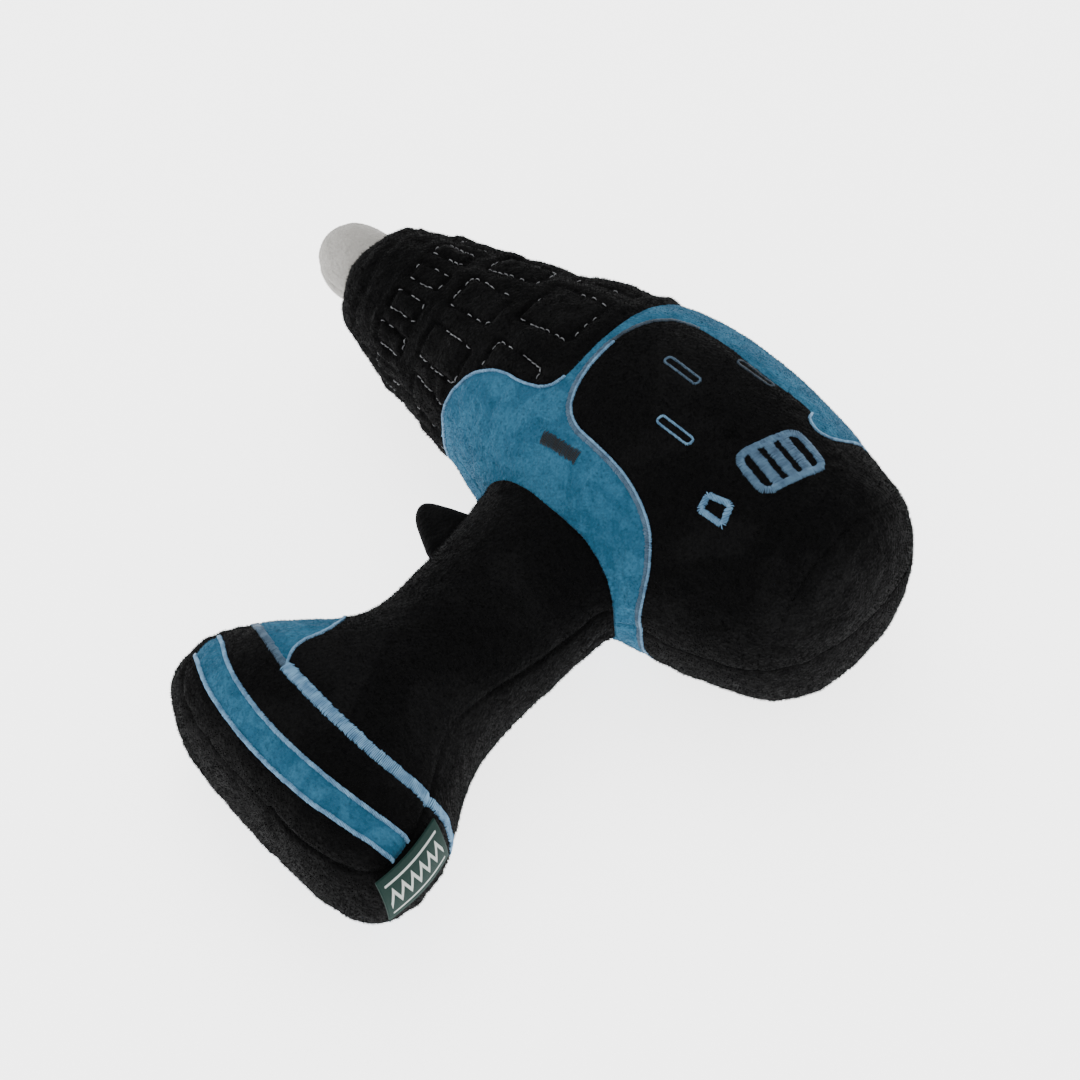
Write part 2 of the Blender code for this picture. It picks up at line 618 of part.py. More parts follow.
for side, low, high in SIDES:
    above = prism("above_band_" + side, above_band, low / 2.0 if low < -1.0 else low,
                  high / 2.0 if high > 1.0 else high)
    panel("grip_" + side, handle_cloth, BLACK, [above], [corner, stitch_room, gusset_room, body_around])
    panel("foot_corner_" + side, handle_cloth, BLUE, [above, corner], [stitch_room, gusset_room])
    panel("corner_stitch_" + side, handle_cloth, THREAD, [above, stitch], [gusset_room])
    band = prism("band_zone_" + side, band_top + band_low[::-1], low, high)
    panel("satin_band_" + side, handle_cloth, THREAD, [band], [gusset_room])
    between = offset_line(band_line, -band_half) + offset_line(upper_line, thin_half)[::-1]
    panel("foot_upper_" + side, handle_cloth, BLACK,
          [prism("foot_upper_zone_" + side, between, low, high)], [gusset_room])
    strip = ribbon(upper_line, THIN_BORDER)
    panel("stripe_upper_border_" + side, handle_cloth, THREAD,
          [prism("stripe_upper_zone_" + side, strip, low, high)], [gusset_room])
    middle = offset_line(upper_line, -thin_half) + offset_line(lower_line, thin_half)[::-1]
    panel("foot_stripe_" + side, handle_cloth, BLUE,
          [prism("foot_stripe_zone_" + side, middle, low, high)], [gusset_room])
    strip = ribbon(lower_line, THIN_BORDER)
    panel("stripe_lower_border_" + side, handle_cloth, THREAD,
          [prism("stripe_lower_zone_" + side, strip, low, high)], [gusset_room])
    below = offset_line(lower_line, -thin_half) + [(wall, floor_y), (-wall, floor_y)]
    panel("foot_lower_" + side, handle_cloth, BLACK,
          [prism("foot_lower_zone_" + side, below, low, high)], [gusset_room])

# Stuffing: the body's fills the nose tip too, and the handle's reaches it through the opening.
inset = FABRIC + FILL_GAP
body_fill = link("body_stuffing", loft("body_stuffing", *body_lining, inset), PARTS, FILL)
tip_fill = cutter("tip_stuffing", loft("tip_stuffing", *tip_lining, TIP_FABRIC + FILL_GAP))
boolean(body_fill, tip_fill, "UNION")
handle_fill = link("handle_stuffing", loft("handle_stuffing", *handle_lining, inset), PARTS, FILL)
boolean(handle_fill, fill_around, "DIFFERENCE")

# Squeaker, upright in a pocket of the stuffing under the left motor cover.
turn_back = Matrix.Rotation(-ROLL, 4, "X")
squeaker_at = Vector((SQUEAKER_CENTRE[0] * X_RATIO, SQUEAKER_CENTRE[1] * Y_RATIO, 0.0))


def rim_cover(height):
    """The least room between the squeaker's rim, at this height, and the cloth over it."""
    rows = np.array(BODY_ROWS, float)
    turn = np.linspace(0.0, 2.0 * math.pi, 48, endpoint=False)
    x = squeaker_at.x + SQUEAKER_RADIUS * np.cos(turn)
    y = squeaker_at.y + height * math.sin(ROLL) + SQUEAKER_RADIUS * np.sin(turn) * math.cos(ROLL)
    z = height * math.cos(ROLL) - SQUEAKER_RADIUS * np.sin(turn) * math.sin(ROLL)
    centre, tall, wide = (np.interp(x / X_RATIO, rows[:, 0], rows[:, k]) for k in (1, 2, 3))
    part = np.minimum(1.0, np.abs(y / Y_RATIO - centre) / tall)
    cloth = wide * Z_RATIO * (1.0 - part ** BODY_ROUNDNESS) ** (1.0 / BODY_ROUNDNESS) - FABRIC
    return (cloth - z).min()


squeaker_top = 0.0
step = 32.0
for _ in range(30):
    if rim_cover(squeaker_top + step) >= SQUEAKER_COVER:
        squeaker_top += step
    step /= 2.0
squeaker_low = squeaker_top - SQUEAKER_HEIGHT
disc = 2.0
bellows_low = squeaker_low + disc + FILL_GAP
bellows_top = squeaker_top - disc - FILL_GAP


def stand(obj, height):
    obj.data.transform(turn_back @ Matrix.Translation(Vector((0.0, 0.0, height * MM))))
    obj.data.transform(Matrix.Translation(squeaker_at * MM))
    obj.data.update()


def cylinder(name, radius, depth, height, group, sides=24):
    bpy.ops.mesh.primitive_cylinder_add(vertices=sides, radius=radius * MM, depth=depth * MM)
    obj = bpy.context.active_object
    obj.name = name
    for old_group in list(obj.users_collection):
        old_group.objects.unlink(obj)
    group.objects.link(obj)
    obj.parent = FRAME
    stand(obj, height)
    if group is CUTTERS:
        obj.hide_render = True
        obj.display_type = "WIRE"
    return obj


pocket_radius = SQUEAKER_RADIUS + FILL_GAP + 0.4
pocket_low = squeaker_low - FILL_GAP
pocket = cylinder("squeaker_pocket", pocket_radius, 60.0, pocket_low + 30.0, CUTTERS)
boolean(body_fill, pocket, "DIFFERENCE")
base = cylinder("squeaker_base", SQUEAKER_RADIUS, disc, squeaker_low + disc / 2.0, PARTS)
stem_radius = 4.2
bore_radius = 2.6
stem = cylinder("squeaker_stem", stem_radius, 7.0, squeaker_low + 3.5, CUTTERS, 16)
bore = cylinder("squeaker_bore", bore_radius, 20.0, squeaker_low + 4.0, CUTTERS, 16)
boolean(base, stem, "UNION")
boolean(base, bore, "DIFFERENCE")
base.data.materials.append(RUBBER)
cap = cylinder("squeaker_top", SQUEAKER_RADIUS, disc, squeaker_top - disc / 2.0, PARTS)
cap.data.materials.append(RUBBER)
reed = cylinder("squeaker_reed", bore_radius - FILL_GAP, 5.0, squeaker_low + 3.0, PARTS, 12)
reed.data.materials.append(REED)
reed_slot = cylinder("reed_slot", 0.6, 20.0, squeaker_low + 3.0, CUTTERS, 8)
boolean(reed, reed_slot, "DIFFERENCE")

folds = 3
profile = []
for k in range(2 * folds + 1):
    radius = SQUEAKER_RADIUS - 0.6 if k % 2 else SQUEAKER_RADIUS - 3.4
    profile.append((radius, bellows_top + (bellows_low - bellows_top) * k / (2 * folds)))
mesh = bpy.data.meshes.new("squeaker_bellows")
outer_line = [(r, 0.0, h) for r, h in profile]
inner_line = [(r - SQUEAKER_WALL * 1.3, 0.0, h) for r, h in profile[::-1]]
points = [Vector(p) * MM for p in outer_line + inner_line]
edges = [(k, (k + 1) % len(points)) for k in range(len(points))]
mesh.from_pydata(points, edges, [])
bellows = link("squeaker_bellows", mesh, PARTS, RUBBER)
screw = bellows.modifiers.new("Turn", "SCREW")
screw.axis = "Z"
screw.steps = 20
screw.render_steps = 20
screw.use_merge_vertices = True
screw.merge_threshold = 0.00001
bellows.matrix_basis = Matrix.Translation(squeaker_at * MM) @ turn_back

def handle_front(height):
    """The x of the handle's front edge at this height."""
    line = sorted(handle_point(row, -1.0, 0.0)[1::-1] for row in HANDLE_ROWS)
    return np.interp(height, [y for y, _ in line], [x for _, x in line])


# Trigger fin: two skins over a thin fill, hinged along its sewn root. It hangs under the body.
top_y = TRIGGER_HEIGHT * Y_RATIO
bottom_y = top_y - TRIGGER_LENGTH
top = Vector((handle_front(top_y) - TRIGGER_GAPS[0], top_y, 0.0))
bottom = Vector((handle_front(bottom_y) - TRIGGER_GAPS[1], bottom_y, 0.0))
down = (bottom - top).normalized()
away = Vector((down.y, -down.x, 0.0))
fin_outline = [tuple((top + away * u + down * v).to_2d()) for u, v in TRIGGER_OUTLINE]
half_fin = TRIGGER_THICKNESS / 2.0


def rounded_fin(name, outline, half, width):
    obj = prism(name, outline, -half, half)
    bevel = obj.modifiers.new("Round", "BEVEL")
    bevel.width = width * MM
    bevel.segments = 2
    bevel.limit_method = "ANGLE"
    bevel.angle_limit = math.radians(60.0)
    return obj


fin = rounded_fin("fin_solid", fin_outline, half_fin, half_fin - 0.1)
fill_half = half_fin - TRIGGER_FABRIC - FILL_GAP
fin_room = rounded_fin("fin_room", grow(fin_outline, -TRIGGER_FABRIC), half_fin - TRIGGER_FABRIC,
                       half_fin - TRIGGER_FABRIC - 0.1)
for side, low, high in SIDES:
    outline = [(-90.0 * FOOT_RATIO, bottom_y - 28.0), (0.0, bottom_y - 28.0),
               (0.0, -20.0), (-90.0 * FOOT_RATIO, -20.0)]
    zone = prism("trigger_zone_" + side, outline, low, high)
    evaluated = bpy.data.meshes.new_from_object(fin.evaluated_get(bpy.context.evaluated_depsgraph_get()))
    skin = link("trigger_skin_" + side, evaluated, PARTS, BLACK)
    boolean(skin, fin_room, "DIFFERENCE")
    boolean(skin, zone, "INTERSECT")
fill_shape = rounded_fin("fin_fill", grow(fin_outline, -TRIGGER_FABRIC - FILL_GAP), fill_half,
                         fill_half - 0.1)
evaluated = bpy.data.meshes.new_from_object(fill_shape.evaluated_get(bpy.context.evaluated_depsgraph_get()))
link("trigger_fill", evaluated, PARTS, FILL)


def row_at(height):
    """The handle section whose centre is at this base height."""
    rows = np.array(HANDLE_ROWS, float)
    return [np.interp(-height, -rows[:, 1], rows[:, k]) for k in range(5)]


# Side label: a folded ribbon sewn into the seam of the left side with the gusset.
label_rows = 6
label_cols = 6
label_top = -124.0
label_seam = 13.6
label_drop = LABEL_LENGTH * 0.923
label_lean = 1.0
label_bow = 1.6
label_points = []
row = row_at(label_top)
for i in range(label_rows):
    along = i / (label_rows - 1)
    lean = label_lean * along + label_bow * math.sin(0.85 * math.pi * along)
    line = []
    for j in range(label_cols):
        z = label_seam - (LABEL_WIDTH - 0.6) * j / (label_cols - 1)
        reach = (1.0 - abs(z / row[4]) ** HANDLE_ROUNDNESS) ** (1.0 / HANDLE_ROUNDNESS)
        x, y, z = handle_point(row, reach, z / row[4])
        line.append(Vector((x + lean, y - label_drop * along, z)))
    label_points.append(line)
bm = bmesh.new()
grid = [[bm.verts.new(p) for p in line] for line in label_points]
for a, b in zip(grid, grid[1:]):
    for j in range(label_cols - 1):
        bm.faces.new((a[j], a[j + 1], b[j + 1], b[j]))
bmesh.ops.recalc_face_normals(bm, faces=bm.faces)
bm.normal_update()
outward = 1.0 if grid[2][2].normal.x > 0 else -1.0
for vert, normal in [(v, v.normal.copy()) for v in bm.verts]:
    vert.co += normal * outward * LABEL_CLEARANCE
for vert in bm.verts:
    vert.co *= MM
if outward < 0:
    bmesh.ops.reverse_faces(bm, faces=bm.faces)
mesh = bpy.data.meshes.new("woven_label")
bm.to_mesh(mesh)
bm.free()
label = link("woven_label", mesh, PARTS, LABEL)
thick = label.modifiers.new("Fold", "SOLIDIFY")
thick.thickness = LABEL_THICKNESS * MM
thick.offset = 1.0
thick.use_even_offset = True

# Lay the toy on its right side: floor at z = 0, centred on its own box.
corners = np.concatenate([*body[0], [body[2]], *handle[0], [handle[2]], *tip[0], [tip[1]]])
turned = corners[:, 1] * math.cos(ROLL) - corners[:, 2] * math.sin(ROLL)
centre_x = (corners[:, 0].min() + corners[:, 0].max()) / 2.0
centre_y = (turned.min() + turned.max()) / 2.0
FRAME.rotation_euler = (ROLL, 0.0, 0.0)
FRAME.location = Vector((-centre_x, -centre_y, -FLOOR)) * MM
bpy.context.view_layer.update()
print("roll", round(math.degrees(ROLL), 3), "shift", [round(v / MM, 3) for v in FRAME.location])
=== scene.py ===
"""Looks of the soft toy power drill: plush panels, satin stitching and a woven label.

The toy is worked out in its own frame, in millimetres: x to the rear, y to the top of
the drill and z to its left side. `place` lays it on its right side, where the CAD is.
"""

import math

import bpy
import numpy as np
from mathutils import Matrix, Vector
from mathutils.bvhtree import BVHTree


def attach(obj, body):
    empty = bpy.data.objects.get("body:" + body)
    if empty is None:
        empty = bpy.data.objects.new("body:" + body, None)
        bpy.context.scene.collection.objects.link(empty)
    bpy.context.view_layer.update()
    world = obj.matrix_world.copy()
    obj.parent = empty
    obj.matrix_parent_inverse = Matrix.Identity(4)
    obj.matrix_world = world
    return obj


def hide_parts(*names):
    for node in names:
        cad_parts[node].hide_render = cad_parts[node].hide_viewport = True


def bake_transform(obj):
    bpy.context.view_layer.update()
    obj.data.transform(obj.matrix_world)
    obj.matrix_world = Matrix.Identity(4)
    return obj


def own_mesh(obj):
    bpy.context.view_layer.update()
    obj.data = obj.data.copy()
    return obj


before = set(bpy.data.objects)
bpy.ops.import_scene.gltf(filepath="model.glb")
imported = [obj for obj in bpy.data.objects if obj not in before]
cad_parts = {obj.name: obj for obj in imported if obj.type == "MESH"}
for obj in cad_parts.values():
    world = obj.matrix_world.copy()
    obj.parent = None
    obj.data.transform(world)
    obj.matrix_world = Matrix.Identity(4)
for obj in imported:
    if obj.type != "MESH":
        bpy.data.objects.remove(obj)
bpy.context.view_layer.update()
bpy.ops.object.select_all(action="DESELECT")
DRAW = np.random.default_rng(41)

# ---------------------------------------------------------------- sizes, in millimetres
ROLL = math.radians(4.884)
ORIGIN = np.array([24.75, 55.008, 35.988])
FLOOR_LEVEL = 0.0
VOXEL = 2.4
CLOTH = 1.0
MOST_SWELL = 1.3
MOST_SINK = 0.4
FILL_ROOM = 0.2
NEAR_STUFFING = 4.0       # how far from the skin stuffing is looked for
MOST_ROOM = 1.8           # the furthest that the skin moves out to keep it
TIP_END = -104.0          # ahead of this the stuffing belongs to the nose tip
PILE_ROUGH = 0.10
# Pile: tufts per square millimetre, their length and their half width.
BLACK_PILE = (2.2, 0.85, 0.13)
BLUE_PILE = (2.2, 0.60, 0.12)
GREY_PILE = (3.0, 0.35, 0.09)
THREAD = 0.17
STITCH_PITCH = 0.42
BAND_PITCH = 0.50
BAND_THREAD = 0.20
BAND_WIDTH = 4.6
# Widths of the motor cover's border: a wide dark band that is painted shade and a thin light line that is a
# painted highlight, together one satin ridge lit on its crest.
COVER_SHADE_BAND = 2.2
COVER_HIGHLIGHT_LINE = 0.9
THIN_LINE = 1.0
STRIPE_LINE = 1.5
REAR_SEAM = 69.6
BODY_POWER = 2.15
HANDLE_POWER = 2.5

# Body sections: x, centre height, half height, half width.
BODY_ROWS = (
    (-110.5, 6.4, 13.2, 13.2), (-109.2, 6.3, 15.2, 15.2), (-106.0, 6.2, 17.4, 17.3),
    (-101.0, 6.1, 19.6, 19.4), (-92.0, 6.0, 22.4, 21.8), (-79.0, 5.9, 25.6, 24.5),
    (-65.0, 5.4, 28.6, 27.2), (-55.0, 5.0, 31.3, 29.4), (-45.0, 4.7, 34.6, 31.8),
    (-35.0, 4.4, 38.4, 33.9), (-25.0, 4.0, 41.6, 35.3), (-15.0, 3.4, 44.2, 36.2),
    (-5.0, 2.8, 46.0, 36.7), (5.0, 2.1, 46.5, 36.8), (15.0, 1.4, 46.2, 36.5),
    (27.0, 0.4, 44.8, 35.7), (39.0, -0.5, 42.6, 34.7), (50.0, -1.4, 39.8, 33.6),
    (59.0, -1.8, 36.8, 32.5), (66.0, -1.7, 33.4, 31.2), (71.0, -1.4, 29.6, 28.8),
    (75.0, -0.8, 24.0, 24.2), (78.0, 0.2, 16.0, 16.6), (79.5, 1.2, 8.0, 8.6),
)
# Handle and foot sections: centre x, centre y, slope in degrees, half length, half thickness.
HANDLE_ROWS = (
    (-1.5, -20.0, 0.0, 27.0, 19.0), (-1.5, -30.0, 0.0, 26.6, 19.5), (-1.2, -40.0, 0.0, 26.0, 20.0),
    (-1.0, -50.0, 0.0, 25.4, 20.0), (-0.6, -60.0, 0.0, 24.9, 20.0), (-0.2, -70.0, -1.0, 24.4, 20.2),
    (0.0, -80.0, -3.0, 23.8, 20.8), (0.0, -89.0, -5.0, 23.6, 21.8), (-0.8, -98.0, -7.0, 26.0, 23.0),
    (-2.0, -106.0, -9.0, 31.2, 24.2), (-3.2, -113.0, -10.0, 37.2, 25.0),
    (-4.4, -120.0, -10.0, 43.0, 25.4), (-5.6, -128.0, -10.0, 47.6, 25.5),
    (-6.4, -136.0, -11.0, 49.5, 25.0), (-7.2, -143.0, -11.0, 48.4, 23.6),
    (-8.0, -148.5, -11.0, 43.5, 20.8), (-8.4, -152.3, -11.0, 35.0, 15.0),
    (-8.5, -154.0, -11.0, 22.0, 8.0),
)
FRONT_EDGE = (
    (-54.0, -80.0), (-54.4, -27.0), (-54.4, -24.5), (-52.5, -22.0), (-48.7, -18.4),
    (-43.6, -15.8), (-38.0, -15.0), (-31.6, -15.8), (-25.6, -15.2), (-22.0, -12.8),
    (-20.6, -7.5), (-21.2, 4.3), (-21.0, 20.0), (-20.9, 34.0), (-20.5, 80.0),
)
COVER_EDGE = (
    (32.4, -80.0), (32.4, -43.7), (32.3, -41.0), (31.1, -37.3), (28.3, -33.0),
    (24.5, -29.6), (17.8, -26.2), (10.5, -23.6), (1.7, -21.8), (-6.8, -20.6),
    (-11.8, -18.4), (-14.8, -15.0), (-17.0, -9.2), (-18.4, -1.4), (-18.6, 7.4),
    (-17.4, 16.4), (-14.9, 23.6), (-11.4, 28.2), (-7.0, 30.0), (2.5, 29.6),
    (13.3, 29.0), (24.0, 28.9), (34.0, 29.2), (36.6, 27.8), (37.4, 24.8),
    (41.0, 22.8), (45.6, 23.4), (47.4, 28.0), (47.8, 34.0), (47.8, 80.0),
)
BAND_LINE = ((-60.0, -104.0), (-38.5, -116.4), (-29.0, -121.0), (-19.0, -124.7), (-3.0, -127.8),
             (13.0, -129.4), (24.0, -128.8), (34.0, -126.6), (60.0, -119.0))
STRIPE_UPPER = ((-80.0, -107.0), (-47.5, -122.6), (-36.5, -131.0), (-24.2, -137.0),
                (-7.0, -141.4), (12.0, -143.2), (26.0, -142.2), (37.0, -139.6), (80.0, -128.0))
STRIPE_LOWER = ((-80.0, -114.0), (-49.5, -131.0), (-38.5, -138.4), (-25.9, -143.6),
                (-8.0, -148.2), (10.5, -150.2), (25.0, -149.4), (38.2, -146.4), (80.0, -135.0))
CORNER_LINE = ((-19.0, -125.4), (-22.4, -119.6), (-22.4, -114.5), (-20.6, -109.5),
               (-20.2, -104.0), (-23.0, -98.0), (-40.0, -86.0))
GUSSET = ((-30.0, 4.0), (-48.0, 5.0), (-66.0, 7.2), (-79.0, 9.2), (-88.0, 11.4), (-97.0, 13.4),
          (-106.0, 15.4), (-114.0, 16.0), (-124.0, 15.2), (-134.0, 14.6), (-142.0, 13.6),
          (-150.0, 12.4), (-175.0, 12.4))
GUSSET_PLAN = ((119.0, -22.0), (4.0, -22.0), (4.0, -130.0), (-16.0, -130.0), (-24.0, -118.4),
               (-119.0, -118.4), (-119.0, -209.0), (119.0, -209.0))
TIP_RINGS = ((9.0, 0.96, 0.0), (-1.5, 1.0, 0.2), (-6.0, 0.99, 0.5), (-10.0, 0.93, 0.9),
             (-13.5, 0.79, 1.2), (-16.3, 0.58, 1.4), (-18.2, 0.32, 1.5))
TIP_RADIUS = 11.4
TIP_LENGTH = 19.0

# Quilted figures round the chuck: x of the middle, length, arc width, how many, first angle.
QUILT_ROWS = ((-82.3, 11.5, 6.0, 14, 99.0), (-61.5, 17.0, 11.0, 10, 98.0), (-37.5, 19.0, 18.0, 8, 82.0))
QUILT_CORNER = (0.7, 1.2, 1.5)

# Embroidered figures on the motor cover: middle x, middle y, length, height, slope in degrees.
SLOTS = (("slot_upper", 4.2, 11.2, 12.8, 3.5, -4.0), ("slot_middle", 15.8, -5.9, 12.8, 3.5, -4.0),
         ("slot_edge", 17.6, 26.2, 12.6, 3.2, 0.0))
SLOT_STROKE = 0.85
TRAPEZOID = ((34.4, -15.2), (42.8, -13.6), (45.0, -20.8), (35.2, -20.6))
VENT = (43.4, 5.2, 16.4, 22.4)
VENT_SLOTS = (-2.2, 2.7, 7.6, 12.5)
VENT_SLOT = (11.6, 1.6)
VENT_SLOPE = -16.0
MARK = (-8.8, -25.7, 12.6, 4.4)
TRIGGER_OUTLINE = ((-2.4, 0.0), (5.0, 1.4), (11.4, 3.0), (13.4, 5.6), (11.6, 10.0), (6.2, 14.2),
                   (1.6, 17.6), (-2.4, 19.4))
TRIGGER_TOP = (-29.9, -42.4)
TRIGGER_BOTTOM = (-28.3, -61.8)
TRIGGER_THICKNESS = 4.8


# ---------------------------------------------------------------- frame, noise and curves
def place(points):
    """Toy frame in millimetres to the row frame in metres."""
    p = np.atleast_2d(points)
    c, s = math.cos(ROLL), math.sin(ROLL)
    laid = np.stack([p[:, 0], p[:, 1] * c - p[:, 2] * s, p[:, 1] * s + p[:, 2] * c], 1)
    return (laid + ORIGIN) / 1000.0


def lumps(points, size, seed):
    """Smooth noise from about -1 to 1, with lumps of this size."""
    lattice = np.random.default_rng(seed).uniform(-1.0, 1.0, (32, 32, 32))
    q = points / size + 500.0
    cell = np.floor(q).astype(int)
    t = q - cell
    t = t * t * (3.0 - 2.0 * t)
    total = 0.0
    for corner in range(8):
        step = np.array([corner & 1, corner >> 1 & 1, corner >> 2 & 1])
        i, j, k = ((cell + step) % 32).T
        weight = np.where(step, t, 1.0 - t).prod(1)
        total = total + weight * lattice[i, j, k]
    return total


def smooth_line(points, rounds=2):
    """Corner cutting that keeps both ends."""
    line = np.array(points, float)
    for _ in range(rounds):
        a, b = line[:-1], line[1:]
        cut = np.empty((2 * len(a), line.shape[1]))
        cut[0::2] = a * 0.75 + b * 0.25
        cut[1::2] = a * 0.25 + b * 0.75
        line = np.vstack([line[:1], cut[1:-1], line[-1:]])
    return line


def inside(points, outline):
    """Distance to a closed outline in the x-y plane, positive inside it."""
    ring = np.array(outline, float)
    x, y = points[:, 0], points[:, 1]
    best = np.full(len(points), 1e9)
    odd = np.zeros(len(points), bool)
    for (ax, ay), (bx, by) in zip(ring, np.roll(ring, -1, 0)):
        ex, ey = bx - ax, by - ay
        size = max(ex * ex + ey * ey, 1e-12)
        t = np.clip(((x - ax) * ex + (y - ay) * ey) / size, 0.0, 1.0)
        best = np.minimum(best, (x - ax - t * ex) ** 2 + (y - ay - t * ey) ** 2)
        if ay != by:
            odd ^= ((ay > y) != (by > y)) & (x < ex * (y - ay) / ey + ax)
    return np.where(odd, 1.0, -1.0) * np.sqrt(best)


def resample(line, pitch, closed=False):
    """The line's points, evenly spaced."""
    if closed:
        line = np.vstack([line, line[:1]])
    steps = np.linalg.norm(np.diff(line[:, :3], axis=0), axis=1)
    reach = np.concatenate([[0.0], np.cumsum(steps)])
    count = max(2, int(round(reach[-1] / pitch)) + 1)
    at = np.linspace(0.0, reach[-1], count)
    out = np.stack([np.interp(at, reach, column) for column in line.T], 1)
    return out[:-1] if closed else out


def rounded_box(cx, cy, length, height, radius, slope=0.0, steps=5):
    points = []
    for qx, qy, start in ((1, 1, 0), (-1, 1, 90), (-1, -1, 180), (1, -1, 270)):
        for angle in np.radians(start + np.linspace(0.0, 90.0, steps)):
            points.append((qx * (length / 2 - radius) + radius * math.cos(angle),
                           qy * (height / 2 - radius) + radius * math.sin(angle)))
    p = np.array(points)
    c, s = math.cos(math.radians(slope)), math.sin(math.radians(slope))
    return np.stack([cx + p[:, 0] * c - p[:, 1] * s, cy + p[:, 0] * s + p[:, 1] * c], 1)


# ---------------------------------------------------------------- meshes
def add_object(name, points, faces):
    mesh = bpy.data.meshes.new(name)
    mesh.from_pydata(points.tolist(), [], faces if isinstance(faces, list) else faces.tolist())
    mesh.update()
    obj = bpy.data.objects.new(name, mesh)
    bpy.context.scene.collection.objects.link(obj)
    return obj


def ring_rows(rows, sides, power, between):
    """Section rows made smooth along their length."""
    rows = np.array(rows, float)
    at = np.arange(len(rows))
    fine = np.linspace(0, len(rows) - 1, (len(rows) - 1) * between + 1)
    slope = np.gradient(rows, axis=0)
    low = np.minimum(fine.astype(int), len(rows) - 2)
    t = (fine - at[low])[:, None]
    a, b, ta, tb = rows[low], rows[low + 1], slope[low], slope[low + 1]
    smooth = (a * (2 * t**3 - 3 * t**2 + 1) + ta * (t**3 - 2 * t**2 + t)
              + b * (3 * t**2 - 2 * t**3) + tb * (t**3 - t**2))
    angles = np.linspace(0.0, 2.0 * math.pi, sides, endpoint=False)
    c, s = np.cos(angles), np.sin(angles)
    across = np.sign(c) * np.abs(c) ** (2.0 / power)
    out = np.sign(s) * np.abs(s) ** (2.0 / power)
    return smooth, across, out


def tube(rings):
    """Points and faces of a closed hull through rings, with fans at its ends."""
    count = len(rings[0])
    points = np.concatenate([*rings, rings[0].mean(0)[None], rings[-1].mean(0)[None]])
    first, last = len(points) - 2, len(points) - 1
    faces = []
    for r in range(len(rings) - 1):
        for i in range(count):
            j = (i + 1) % count
            faces.append((r * count + i, r * count + j, (r + 1) * count + j, (r + 1) * count + i))
    for i in range(count):
        j = (i + 1) % count
        faces.append((first, j, i))
        faces.append((last, (len(rings) - 1) * count + i, (len(rings) - 1) * count + j))
    return points, faces


def body_tube():
    rows, across, out = ring_rows(BODY_ROWS, 72, BODY_POWER, 3)
    return tube([np.stack([np.full(72, x), cy + hh * across, hw * out], 1) for x, cy, hh, hw in rows])


def handle_tube():
    rows, across, out = ring_rows(HANDLE_ROWS, 64, HANDLE_POWER, 3)
    rings = []
    for cx, cy, slope, length, thick in rows:
        a = math.radians(slope)
        rings.append(np.stack([cx + length * across * math.cos(a),
                               cy + length * across * math.sin(a), thick * out], 1))
    return tube(rings)


def outside_body(p):
    rows = np.array(BODY_ROWS)
    cy, hh, hw = (np.interp(p[:, 0], rows[:, 0], rows[:, k]) for k in (1, 2, 3))
    q = (np.abs((p[:, 1] - cy) / hh) ** BODY_POWER + np.abs(p[:, 2] / hw) ** BODY_POWER)
    return (q ** (1.0 / BODY_POWER) - 1.0) * (hh + hw) / 2.0


def outside_handle(p):
    rows = np.array(HANDLE_ROWS)[::-1]
    slope = np.interp(p[:, 1], rows[:, 1], rows[:, 2])
    height = p[:, 1] - (p[:, 0] + 3.0) * np.tan(np.radians(slope))
    cx, length, thick = (np.interp(height, rows[:, 1], rows[:, k]) for k in (0, 3, 4))
    q = (np.abs((p[:, 0] - cx) / length) ** HANDLE_POWER + np.abs(p[:, 2] / thick) ** HANDLE_POWER)
    away = (q ** (1.0 / HANDLE_POWER) - 1.0) * (length + thick) / 2.0
    return away + np.maximum(0.0, p[:, 1] + 25.0) * 2.0


def side_of(points, line):
    """Signed distance to an open line in the x-y plane that runs to the rear: positive above it."""
    line = np.asarray(line)
    outline = np.vstack([line, [[line[-1, 0], 200.0], [line[0, 0], 200.0]]])
    return inside(points, outline)


def fields_of(p):
    """Everything that the panels are cut by, one column each."""
    body = np.where(p[:, 1] > 40.0, -40.0, outside_body(p) - outside_handle(p))
    front = smooth_line(FRONT_EDGE)
    cover = smooth_line(COVER_EDGE)
    chuck = inside(p, np.vstack([[(-160.0, -80.0)], front, [(-160.0, 80.0)]]))
    motor = inside(p, np.vstack([cover, [(160.0, 80.0), (160.0, -80.0)]]))
    g = np.array(GUSSET)[::-1]
    half = np.interp(p[:, 1], g[:, 0], g[:, 1])
    gusset = np.minimum(half - np.abs(p[:, 2]), inside(p, GUSSET_PLAN))
    corner = inside(p, np.vstack([smooth_line(CORNER_LINE), [(-117.0, -86.0), (-117.0, -200.0),
                                                             (-19.0, -200.0)]]))
    columns = [p[:, 2], body, chuck, motor, p[:, 0] - REAR_SEAM, gusset,
               side_of(p, smooth_line(BAND_LINE)), side_of(p, smooth_line(STRIPE_UPPER)),
               side_of(p, smooth_line(STRIPE_LOWER)), corner]
    return np.stack(columns, 1)


MID, GRIP, CHUCK, MOTOR, REAR, GUS, BAND, UPPER, LOWER, CORNER = range(10)


